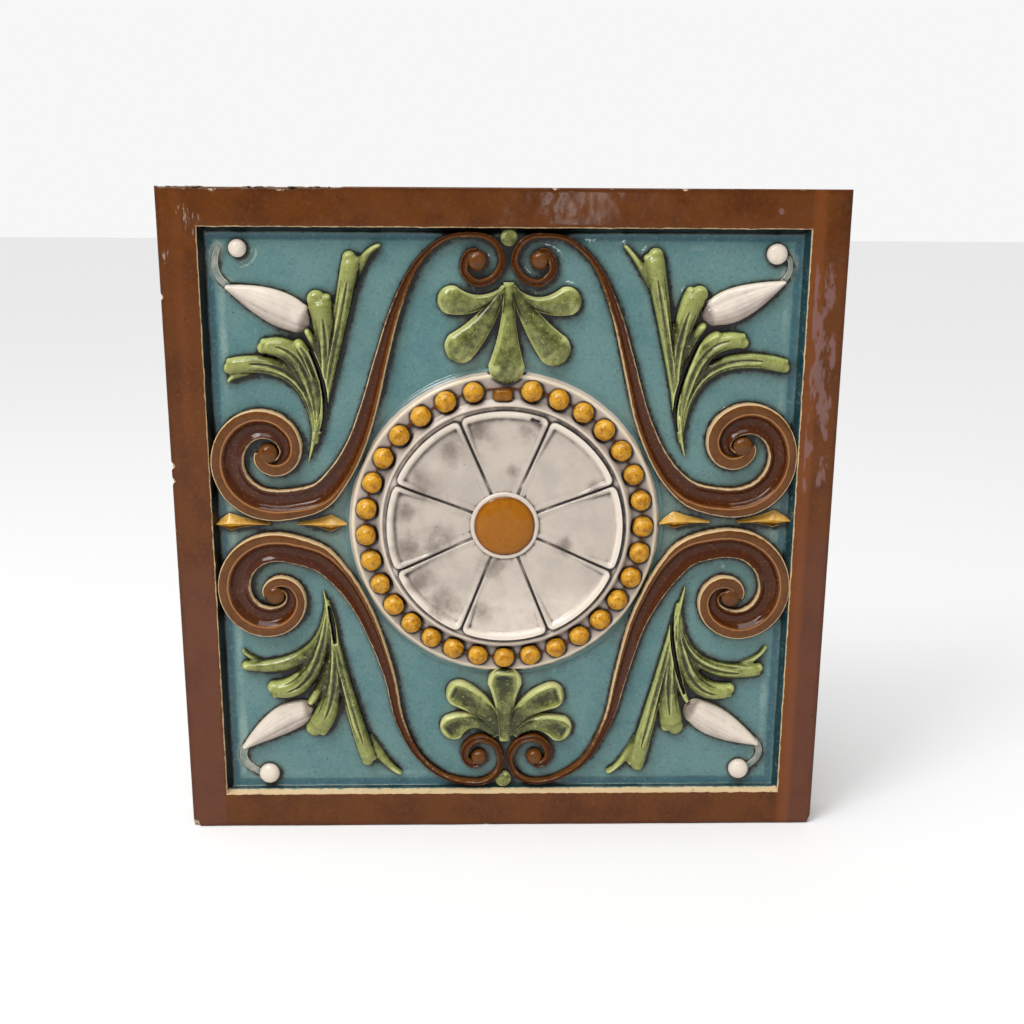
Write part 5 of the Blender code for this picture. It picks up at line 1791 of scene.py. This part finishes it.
@dataclass
class Scroll:
    """One corner's scroll, from its eye through the volute and stem to the small spiral and ball."""

    gauge: Gauge
    corner: Corner
    plan: ScrollPlan
    rim_level: float = 1.95
    channel_level: float = 1.15
    inner_level: float = 1.60
    stem_tip_level: float = 1.45
    stem_drop: float = 0.12
    full_half_width: float = 2.0
    ridge_shares: tuple[float, ...] = (0.31, 0.30, 0.33, 0.45, 0.75, 0.95)
    stem_rim_span: float = 3.0
    spiral_half_widths: tuple[float, ...] = (0.34, 0.44, 0.52, 0.56, 0.60)
    spacing: float = 0.20
    join_span: float = 4.5
    eye_radius: float = 1.6
    eye_level: float = 2.1
    ball_level: float = 1.9
    wall_points: int = 4
    band: tuple[float, ...] = (0.0, 0.06, 0.18, 0.38, 0.60, 0.80, 0.92)
    bed: tuple[float, ...] = (0.0, 0.03, 0.07, 0.13, 0.20, 0.29, 0.38, 0.48, 0.58, 0.68, 0.78, 0.87, 0.93,
                              0.97, 1.0)

    def path(self) -> Array:
        """Follow the band from the eye to its end by the ball.

        Returns:
            Rows of x, y, half width, ridge share, and place along: quarter turns from the stem,
            below 0, in the volute, and the stem's points passed, above 0, after it.
        """
        plan = self.plan
        eye_x, eye_y = plan.eye
        position = np.linspace(len(plan.outer) - 1.0, 0.0, 900)
        outer = smooth_between(plan.outer, position)
        inner = smooth_between(plan.inner, position)
        turn = (position - 1) * QUARTER
        middle = (outer + inner) / 2
        ridge = smooth_between(self.ridge_shares, position)
        volute = np.column_stack([eye_x + np.cos(turn) * middle, eye_y + np.sin(turn) * middle,
                                  (outer - inner) / 2, ridge, -position])
        controls = [(eye_x, eye_y - middle[-1], (outer[-1] - inner[-1]) / 2), *plan.stem, *self.coil()]
        along = np.linspace(0.0, len(controls) - 1.0, 1500)
        columns = [smooth_between(column, along) for column in np.array(controls).T]
        fading = self.ridge_shares[0] * np.clip(1 - along / self.stem_rim_span, 0, 1)
        stem = np.column_stack([*columns, fading, along])
        rows = evened(np.concatenate([volute, stem[1:]]), self.spacing)
        return evened(self.eased_join(rows), self.spacing)

    def coil(self) -> list[Spot]:
        """Give the small spiral's points and half widths, which wind in to the ball."""
        radii = (*self.plan.spiral, 0.75 * self.plan.ball_radius)
        quarters = np.arange(0, len(radii) - 0.75, 0.5)
        angle = QUARTER * (1 + quarters)
        radius = np.interp(quarters, range(len(radii)), radii)
        half = np.interp(quarters, range(len(radii)), self.spiral_half_widths)
        x, y = self.plan.ball
        return list(zip(x + radius * np.cos(angle), y + radius * np.sin(angle), half))

    def eased_join(self, rows: Array) -> Array:
        """Smooth the path where the volute runs into the stem.

        Args:
            rows: The path's rows.

        Returns:
            The new rows.
        """
        width = self.join_span / 2 / self.spacing
        reach = int(3 * width)
        kernel = np.exp(-0.5 * (np.arange(-reach, reach + 1) / width) ** 2)
        join = int(np.argmin(np.abs(rows[:, 4])))
        weight = np.exp(-0.5 * ((np.arange(len(rows)) - join) / (1.6 * width)) ** 2)
        eased = rows.copy()
        for axis in range(4):
            padded = np.pad(rows[:, axis], reach, mode="edge")
            smooth = np.convolve(padded, kernel / kernel.sum(), mode="valid")
            eased[:, axis] += weight * (smooth - rows[:, axis])
        return eased

    def build(self) -> Piece:
        """Make the scroll with its eye and its ball."""
        rows = self.path()
        signs = self.corner.value
        outward = square_to(rows[:, :2])
        half, ridge, along = rows[:, 2:3], np.clip(rows[:, 3:4], 0.10, 0.95), rows[:, 4:5]
        fade = np.clip(half / self.full_half_width, 0, 1)
        rim, inner_rim, channel = (self.stem_tip_level + (level - self.stem_tip_level) * fade
                                   for level in (self.rim_level, self.inner_level, self.channel_level))
        channel = channel - self.stem_drop
        rounding = np.minimum(0.16, 0.3 * half) / half
        band, bed = np.array(self.band), np.array(self.bed)
        spots = beside(band * ridge, ridge + (1 - ridge) * bed)
        swell = 0.06 * np.sin(math.pi * band) - 0.07 * (1 - ease(band, 0, 0.35))
        swell = swell - 0.05 * hump(band, 0.82, 0.12)
        fall = rim + (channel - rim) * ease(bed, 0.02, 0.34)
        tops = beside(rim + fade * swell, fall + (inner_rim - channel) * ease(bed, 0.55, 1.0) ** 1.5)
        offsets = (1 - 2 * (rounding / 2 + spots * (1 - rounding))) * half
        wall = beside(half + 0.10, half + 0.05, half + 0.01, half * (1 - 0.3 * rounding))
        rises = [beside(0 * edge + ROOT_LEVEL, 0 * edge + 0.5, edge - 0.40 * fade - 0.12, edge - 0.13)
                 for edge in (rim, inner_rim)]
        offsets = beside(wall, offsets, -wall[:, ::-1])
        levels = beside(rises[0], tops, rises[1][:, ::-1])
        x, y = ((rows[:, axis:axis + 1] + outward[:, axis:axis + 1] * offsets) * signs[axis]
                for axis in (0, 1))
        points = self.gauge.place(x, y, levels)
        raised = ease(levels, 0.3, 1.0)
        ruffle(points, 80 + self.corner.seed, 0.012, 0.00006 * raised)
        wander = 0.00005 * raised * Ripple(90 + self.corner.seed, 0.005).at(points)
        points[..., 0] += wander
        points[..., 2] += wander
        sketch = Sketch("scroll_%s" % self.corner.label)
        sketch.add(points, self.marks(offsets, spots, half, ridge, along))
        for (x, y), radius, level in ((self.plan.eye, self.eye_radius, self.eye_level),
                                      (self.plan.ball, self.plan.ball_radius, self.ball_level)):
            add_dome(sketch, self.gauge, (x * signs[0], y * signs[1], radius), level, 36, 14)
        return sketch.build()

    def marks(self, offsets: Array, spots: Array, half: Array, ridge: Array,
              along: Array) -> Marks:
        """Mark the arrises, the ridge, the channel and the reflection painted on its inner side.

        Args:
            offsets: Each point's place across the band, in units.
            spots: The upper points' shares across the band.
            half: Each station's half width.
            ridge: Where the ridge stands across it.
            along: Each station's place along the band.

        Returns:
            The marks.
        """
        from_edge = half - np.abs(offsets)
        inside = np.clip(from_edge - 0.08, 0, None) / 0.15
        outside = np.clip(-from_edge, 0, None) / 0.06
        arris = np.exp(-inside ** 2 - outside ** 2) * (1 - 0.55 * ease(along, 5, 7))
        volute = 1 - ease(along, 1, 3.5)
        past_ridge = (spots - ridge) * 2 * half
        upper = {
            "ridge_line": np.exp(-(past_ridge / 0.15) ** 2) * volute,
            "channel": ease(past_ridge, 0.02, 0.50),
            "mauve_reflection": ease((spots - ridge) / (1 - ridge), 0.25, 0.65) * self.plan.mauve_reflection * volute,
        }
        padding = ((0, 0), (self.wall_points, self.wall_points))
        return {"arris": arris * np.where(offsets > 0, 1.0, 0.85)} | {
            name: np.pad(values, padding) for name, values in upper.items()}


def add_dome(sketch: Sketch, gauge: Gauge, centre: Spot, level: float, sides: int, rings: int) -> None:
    """Add a round dome that stands on the ground.

    Args:
        sketch: Where the dome goes.
        gauge: The tile's measures.
        centre: Its middle and its radius, in units.
        level: Its top, in levels.
        sides: How many points go round it.
        rings: How many rings it has.
    """
    x, y, radius = centre
    angle = full_turn(sides)
    turn = np.linspace(0.0, math.radians(88), rings)[1:]
    reach = np.concatenate([[radius, radius], radius * np.cos(turn)])[:, None]
    rise = np.concatenate([[ROOT_LEVEL, 0.38 * level], level * (0.38 + 0.62 * np.sin(turn))])[:, None]
    points = gauge.place(x + reach * np.cos(angle), y + reach * np.sin(angle), rise)
    ruffle(points, 101, 0.004, 0.00008 * ease(rise, 0.2, 0.8))
    sketch.add(points, {"pale_and_lit": 0.75})


@dataclass
class LobeMaker:
    """Sweeps carved lobes with a chosen section."""

    gauge: Gauge
    section: Section
    spacing: float = 0.25
    points_across: int = 25
    signs: tuple[int, int] = (1, 1)
    root_share: float = 0.55
    tip_low_share: float = 0.4
    round_root: bool = False
    pale_and_lit: float = 0.0
    fade: float = 0.0
    sooty_root: float = 0.0

    def stations(self, lobe: Lobe) -> Array:
        """Follow a lobe from its root round its end.

        Args:
            lobe: The lobe.

        Returns:
            Rows of x, y, half width, height and share of the length.
        """
        share = np.linspace(0, 1, 160)
        if self.section is Section.FACETED:
            spots = np.array((lobe.root, lobe.middle, lobe.end))
            path = np.column_stack([np.interp(share, (0, 0.3, 1), column) for column in spots.T])
            path[:, 2] *= 1 - 0.20 * hump(share, 0.66, 0.34)
        else:
            path = lobe.at(share)
        rise = lobe.height * (self.root_share + (1 - self.root_share) * np.sin(share * QUARTER))
        rows = evened(np.column_stack([path * (*self.signs, 1), rise, share]), self.spacing)
        parts = [rows, self.rounded_end(rows[-2], rows[-1], 1)]
        if self.round_root:
            parts.insert(0, self.rounded_end(rows[1], rows[0], -1)[::-1])
        return np.concatenate(parts)

    def rounded_end(self, before: Array, last: Array, heading: int) -> Array:
        """Round off a lobe beyond its last station.

        Args:
            before: The station before the last.
            last: The last station.
            heading: 1 at the lobe's end and -1 at its root.

        Returns:
            The stations beyond it.
        """
        along = (last[:2] - before[:2]) / np.linalg.norm(last[:2] - before[:2])
        steps = max(int(last[2] * QUARTER / self.spacing), 5)
        turn = np.linspace(0, math.radians(86), steps + 1)[1:]
        low = self.tip_low_share + (1 - self.tip_low_share) * np.cos(turn)
        place = last[:2] + along * last[2] * np.sin(turn)[:, None]
        half, height, share = last[2] * np.cos(turn), last[3] * low, last[4] + heading * np.sin(turn)
        return np.column_stack([place, half, height, share])

    def rise(self, across: Array, share: Array) -> Array:
        """Give the section's height.

        Args:
            across: Places across, from -1 to 1.
            share: Each station's share of the length, past 1 in the rounded end.

        Returns:
            Shares of the lobe's height, shaped (stations, points across).
        """
        arch = np.sqrt(np.clip(1 - across ** 2, 0, 1)) + 0 * share
        if self.section is Section.DROPLET:
            return 0.42 + 0.58 * arch ** 0.9
        if self.section is Section.SPOON:
            dip = 0.30 * ease(share, 0.45, 0.95) * (1 - ease(share, 1.35, 1.75))
            return 0.45 + 0.55 * arch ** 0.55 - dip * np.clip(1 - (across / 0.8) ** 2, 0, 1)
        if self.section is Section.TONGUE:
            return 0.25 + 0.75 * arch + 0.16 * hump(share, 1.0, 0.40) * arch
        if self.section is Section.FLUTED:
            bent = across * 19 + 3 * across ** 2
            flat_side = ease(across, -0.35, 0.0) * (1 - ease(np.abs(across), 0.80, 1.0))
            flutes = 0.017 * np.cos(bent) * flat_side
            groove = -0.09 * np.exp(-((across + 0.45) / 0.13) ** 2)
            return 0.35 + 0.65 * arch ** 0.8 + (flutes + groove) * (1 - ease(share, 0.55, 1.0))
        if self.section is Section.RIBBON:
            return 0.05 + 0.95 * arch
        return 0.12 + 0.88 * (1 - np.abs(across)) + 0 * share

    def add(self, sketch: Sketch, lobe: Lobe) -> None:
        """Add a lobe to a sketch.

        Args:
            sketch: Where it goes.
            lobe: The lobe.
        """
        rows = self.stations(lobe)
        right = square_to(rows[:, :2]) * -1
        across = np.sin(np.linspace(-QUARTER, QUARTER, self.points_across))[None, :]
        half = rows[:, 2:3]
        root = 0 * half + ROOT_LEVEL
        offsets = beside(-half - 0.04, across * half, half + 0.04)
        levels = beside(root, self.rise(across, rows[:, 4:5]) * rows[:, 3:4], root)
        x, y = (rows[:, axis:axis + 1] + right[:, axis:axis + 1] * offsets for axis in (0, 1))
        points = self.gauge.place(x, y, levels)
        ruffle(points, 111, 0.006, 0.00007 * ease(levels, 0.2, 0.8))
        edge = np.exp(-((half - np.abs(offsets)) / 0.16) ** 2)
        edge[:, (0, -1)] = 0
        # The side facing down and right is painted darker as shade, and the other side paler as light.
        downward = (right @ np.array([0.35, -0.94]))[:, None] * offsets / half
        shade = 0.7 * np.clip(1.4 * downward, 0, 1)
        soot = self.sooty_root * (1 - ease(rows[:, 4:5], -0.7, 0.25))
        sketch.add(points, {"arris": 0.8 * edge, "shade": shade, "pale_and_lit": self.pale_and_lit * (1 - shade),
                            "soot": soot, "fade": self.fade})


@dataclass
class CornerFoliage:
    """One corner's leaf, bud, tail and dot."""

    gauge: Gauge
    corner: Corner
    leaf_grain: float = 0.00043
    leaf_rounds: int = 6
    knobs_from: float = 0.9
    knob_shapes: tuple[Spot, ...] = ((0.62, -0.24, 0.74), (0.52, 0.56, 0.42))
    flutes_from: float = 0.75
    flutes: tuple[Spot, ...] = ((0.10, 0.30, 0.30), (-0.62, 0.16, 0.22))
    flute_spacing: float = 0.12
    slit_floor: float = 0.15
    dot_level: float = 1.5

    def leaf(self) -> Piece:
        """Make the split leaf: lobes joined under one glaze, then fluted and slit."""
        maker = LobeMaker(self.gauge, Section.TONGUE, 0.35, 19, self.corner.value)
        sketch = Sketch("leaf_%s" % self.corner.label)
        for lobe in LEAVES[self.corner]:
            maker.add(sketch, lobe)
            self.knobs(sketch, lobe)
        piece = sketch.build()
        fuse(piece, self.leaf_grain, self.leaf_rounds)
        self.cut(piece)
        return piece

    def knobs(self, sketch: Sketch, lobe: Lobe) -> None:
        """Add the two small knobs at a broad lobe's end.

        Args:
            sketch: Where they go.
            lobe: The lobe.
        """
        half = lobe.end[2]
        if half < self.knobs_from:
            return
        near, last = lobe.at(np.array([0.96, 1.0]))[:, :2]
        along = (last - near) / np.linalg.norm(last - near)
        side = np.array([-along[1], along[0]])
        for reach, offset, size in self.knob_shapes:
            x, y = (last + (along * reach + side * offset) * half) * self.corner.value
            add_dome(sketch, self.gauge, (x, y, size * half), (0.72 + 0.3 * size) * lobe.height, 20, 8)

    def cut(self, piece: Piece) -> None:
        """Cut the flutes along each lobe and the slit at the leaf's heart, which the glaze paints near-black
        as shade.
        """
        points = points_of(piece)
        plan = self.gauge.plan(points) * self.corner.value
        level = (-points[:, 1] - self.gauge.body) / self.gauge.level
        flute = np.zeros(len(points))
        ends = [(*lobe.end[:2], 2.2 * lobe.end[2] + 0.6) for lobe in LEAVES[self.corner]]
        set_mark(piece, "tip", closeness(plan, ends))
        for lobe in LEAVES[self.corner]:
            if lobe.end[2] < self.flutes_from:
                continue
            path = evened(lobe.at(np.linspace(0.06, 0.90, 160)), self.flute_spacing)
            along = np.linspace(0, math.pi, len(path))
            for place, half, depth in self.flutes:
                curve = path.copy()
                curve[:, :2] += place * path[:, 2:] * square_to(path[:, :2])
                curve[:, 2] = half * np.sqrt(np.sin(along)) + 0.02
                flute = np.maximum(flute, depth * closeness(plan, curve))
        slit = closeness(plan, through_three(SLITS[self.corner], np.linspace(0, 1, 120)))
        lowered = level - flute * ease(level, 0.5, 1.0)
        lowered = lowered + np.minimum(self.slit_floor - lowered, 0) * ease(slit, 0.25, 0.8)
        points[:, 1] = -(self.gauge.body + lowered * self.gauge.level)
        move_points(piece, points)
        set_mark(piece, "slit", slit)

    def bud(self) -> Piece:
        """Make the fluted bud with its tail."""
        sketch = Sketch("bud_%s" % self.corner.label)
        signs = self.corner.value
        bud = LobeMaker(self.gauge, Section.FLUTED, points_across=57, signs=signs, root_share=0.8,
                        round_root=True, pale_and_lit=0.68, sooty_root=0.85)
        tail = LobeMaker(self.gauge, Section.RIBBON, points_across=13, signs=signs, root_share=1.0, fade=0.60)
        bud.add(sketch, BUDS[self.corner])
        tail.add(sketch, TAILS[self.corner])
        return sketch.build()

    def dot(self) -> Piece:
        """Make the round dot."""
        place = tuple(np.array(DOTS[self.corner]) * (*self.corner.value, 1))
        sketch = Sketch("dot_%s" % self.corner.label)
        add_dome(sketch, self.gauge, place, self.dot_level, 48, 16)
        return sketch.build()


@dataclass
class CentreLine:
    """The palmettes, balls and darts on the tile's centre lines."""

    gauge: Gauge

    def palmette(self, name: str, lobes: Sequence[Lobe], section: Section) -> Piece:
        """Make a palmette.

        Args:
            name: Its name.
            lobes: Its lobes.
            section: How they are shaped across.

        Returns:
            The piece.
        """
        sketch = Sketch(name)
        maker = LobeMaker(self.gauge, section, spacing=0.22, points_across=31)
        for lobe in lobes:
            maker.add(sketch, lobe)
        return sketch.build()

    def ball(self, label: str) -> Piece:
        """Make the ball at the top or bottom of the centre line."""
        sketch = Sketch("centre_ball_%s" % label)
        add_dome(sketch, self.gauge, CENTRE_BALLS[label], 1.5, 40, 14)
        return sketch.build()

    def darts(self) -> Piece:
        """Make the four faceted darts."""
        sketch = Sketch("darts")
        maker = LobeMaker(self.gauge, Section.FACETED, 0.3, 13, root_share=0.8, pale_and_lit=0.62)
        for lobe in DARTS:
            maker.add(sketch, lobe)
        return sketch.build(crease=24.0)


@dataclass
class MortarCrumbs:
    """Crumbs of old mortar on the top edge."""

    gauge: Gauge
    seed: int = 5
    count: int = 70
    mounded_until: float = -0.074
    spans: tuple[tuple[float, float], ...] = ((-0.147, -0.132), (-0.114, -0.100), (-0.094, -0.076),
                                              (-0.060, 0.145))
    shares: tuple[float, ...] = (0.30, 0.30, 0.25, 0.15)
    rings: int = 7
    sides: int = 11

    def build(self) -> Piece:
        """Make the crumbs, each a small flat lump seated in the worn edge."""
        draw = np.random.default_rng(self.seed)
        sketch = Sketch("mortar_crumbs")
        top = self.gauge.side / 2 - CLEARANCE
        angle = full_turn(self.sides)
        turn = np.linspace(-1.4, 1.4, self.rings)[:, None]
        for _ in range(self.count):
            low, high = self.spans[draw.choice(len(self.spans), p=self.shares)]
            x = draw.uniform(low, high)
            width = draw.uniform(0.0010, 0.0032) / 2
            tall = draw.uniform(0.0006, 0.0012) if x < self.mounded_until else 0.0004
            depth = draw.uniform(0.0060, 0.0212 - width)
            lumps = 1 + draw.uniform(-0.22, 0.22, size=(self.rings, self.sides))
            across = x + width * np.cos(turn) * np.cos(angle) * lumps
            out = -depth + width * np.cos(turn) * np.sin(angle) * lumps
            up = top - tall * 0.45 + tall * 0.5 * np.sin(turn) * lumps
            sketch.add(np.stack([across, out, np.minimum(up, top)], axis=-1))
        return sketch.build()


@dataclass
class Studio:
    """The pale floor, the soft lights and the camera at the photograph's viewing angle."""

    gauge: Gauge
    floor_side: float = 30.0
    floor_colour: Colour = (0.88, 0.88, 0.88)
    world_light: float = 0.40
    world_seen: float = 0.93
    sky_strength: float = 1.95
    sky_place: Spot = (-0.2, -0.30, 1.0)
    sky_angle: float = math.radians(45)
    key_power: float = 9.0
    key_place: Spot = (-0.75, -0.80, 1.10)
    key_side: float = 0.5
    window_power: float = 0.16
    window_place: Spot = (0.155, -1.55, 0.165)
    window_target: Spot = (0.03, 0.0, 0.14)
    window_sides: tuple[float, float] = (0.035, 0.07)
    camera_place: Spot = (-0.0089, -0.5562, 0.1380)
    camera_turn: Spot = (76.2122, -0.2976, -1.2367)
    lens: float = 42.3995

    def floor(self) -> None:
        """Lay the floor that the tile stands on."""
        half = self.floor_side / 2
        level = -self.gauge.side / 2
        mesh = bpy.data.meshes.new("floor")
        corners = [(x * half, y * half, level) for x, y in ((-1, -1), (1, -1), (1, 1), (-1, 1))]
        mesh.from_pydata(corners, [], [(0, 1, 2, 3)])
        floor = bpy.data.objects.new("floor", mesh)
        bpy.context.scene.collection.objects.link(floor)
        recipe = Recipe("pale_floor")
        cloud = recipe.noise(0.5)
        shade = recipe.blend(cloud, self.floor_colour, tuple(0.98 * part for part in self.floor_colour))
        mesh.materials.append(recipe.finish(shade, 0.7, cloud, 0.0001))

    @staticmethod
    def light(name: str, kind: str, place: Spot, power: float,
              target: Spot = (0.0, 0.0, 0.0)) -> bpy.types.Light:
        """Hang a light.

        Args:
            name: Its name.
            kind: Its type.
            place: Where it hangs.
            power: Its power, in watts, or its strength if it is a sun.
            target: What it points at.

        Returns:
            The light, for its size to be set.
        """
        lamp = bpy.data.lights.new(name, kind)
        lamp.energy = power
        item = bpy.data.objects.new(name, lamp)
        item.location = place
        item.rotation_euler = (Vector(target) - Vector(place)).to_track_quat("-Z", "Y").to_euler()
        bpy.context.scene.collection.objects.link(item)
        return lamp

    def lights(self) -> None:
        """Hang the broad sky, the soft key from the upper left and the window behind the camera."""
        sky = self.light("sky", "SUN", self.sky_place, self.sky_strength)
        sky.angle = self.sky_angle
        key = self.light("key", "AREA", self.key_place, self.key_power)
        key.size = self.key_side
        window = self.light("window", "AREA", self.window_place, self.window_power, self.window_target)
        window.shape = "RECTANGLE"
        window.size, window.size_y = self.window_sides

    def surroundings(self) -> None:
        """Light everything softly from a near-white room."""
        world = bpy.data.worlds.new("pale_room")
        world.use_nodes = True
        work = NodeWork(world.node_tree)
        shade = work.tree.nodes["Background"]
        camera_ray = work.node("ShaderNodeLightPath").outputs["Is Camera Ray"]
        strength = work.node("ShaderNodeMapRange", {}, {
            "To Min": self.world_light, "To Max": self.world_seen, "Value": camera_ray})
        work.connect(shade.inputs["Color"], (1.0, 1.0, 1.0))
        work.connect(shade.inputs["Strength"], strength.outputs["Result"])
        bpy.context.scene.world = world

    def camera(self) -> None:
        """Set the camera where the photograph was taken from."""
        lens = bpy.data.cameras.new("camera")
        lens.lens = self.lens
        lens.sensor_width = 36.0
        lens.clip_start = 0.01
        camera = bpy.data.objects.new("camera", lens)
        camera.location = self.camera_place
        camera.rotation_euler = Euler([math.radians(turn) for turn in self.camera_turn])
        bpy.context.scene.collection.objects.link(camera)
        bpy.context.scene.camera = camera

    def set_up(self) -> None:
        """Make the floor, the surroundings, the lights and the camera."""
        self.floor()
        self.surroundings()
        self.lights()
        bpy.context.scene.view_settings.view_transform = "Standard"
        self.camera()


def main() -> None:
    """Build the tile, dress it and set up the studio."""
    logging.basicConfig(level=logging.INFO, format="%(message)s")
    low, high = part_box(NODE)
    gauge = Gauge(side=high.x - low.x)
    materials = {glaze: glaze.dress() for glaze in GLAZES}

    rosette, line = Rosette(gauge), CentreLine(gauge)
    pieces: list[tuple[Piece, Glaze]] = [
        (rosette.bed(), ROSETTE_WHITE),
        (rosette.petals(), ROSETTE_WHITE),
        (rosette.collar(), ROSETTE_WHITE),
        (rosette.thread(), BEAD_OCHRE),
        (rosette.button(), BEAD_OCHRE),
        (rosette.beads(materials[BEAD_OCHRE]), BEAD_OCHRE),
        (rosette.stub(), BEAD_OCHRE),
        (line.palmette("palmette_top", TOP_PALMETTE, Section.DROPLET), LEAF_GREEN),
        (line.palmette("palmette_bottom", BOTTOM_PALMETTE, Section.SPOON), LEAF_GREEN),
        (line.ball("top"), LEAF_GREEN),
        (line.ball("bottom"), LEAF_GREEN),
        (line.darts(), BEAD_OCHRE),
    ]
    for corner in Corner:
        foliage = CornerFoliage(gauge, corner)
        pieces += [(Scroll(gauge, corner, SCROLLS[corner]).build(), SCROLL_BROWN),
                   (foliage.leaf(), LEAF_GREEN), (foliage.bud(), ROSETTE_WHITE),
                   (foliage.dot(), ROSETTE_WHITE)]

    relief = ReliefMap(gauge)
    for piece, _ in pieces:
        relief.press(piece)
    relief.close_gaps()
    for piece, _ in pieces:
        relief.mark(piece)
    pieces += [(Ground(gauge, relief).build(), GROUND_TEAL), (Border(gauge).build(), BORDER_BROWN),
               (TileBody(gauge).build(), BARE_CLAY), (MortarCrumbs(gauge).build(), OLD_MORTAR)]
    for piece, glaze in pieces:
        hand_over(piece, glaze.slot, materials[glaze])

    Studio(gauge).set_up()


if __name__ == "__main__":
    main()
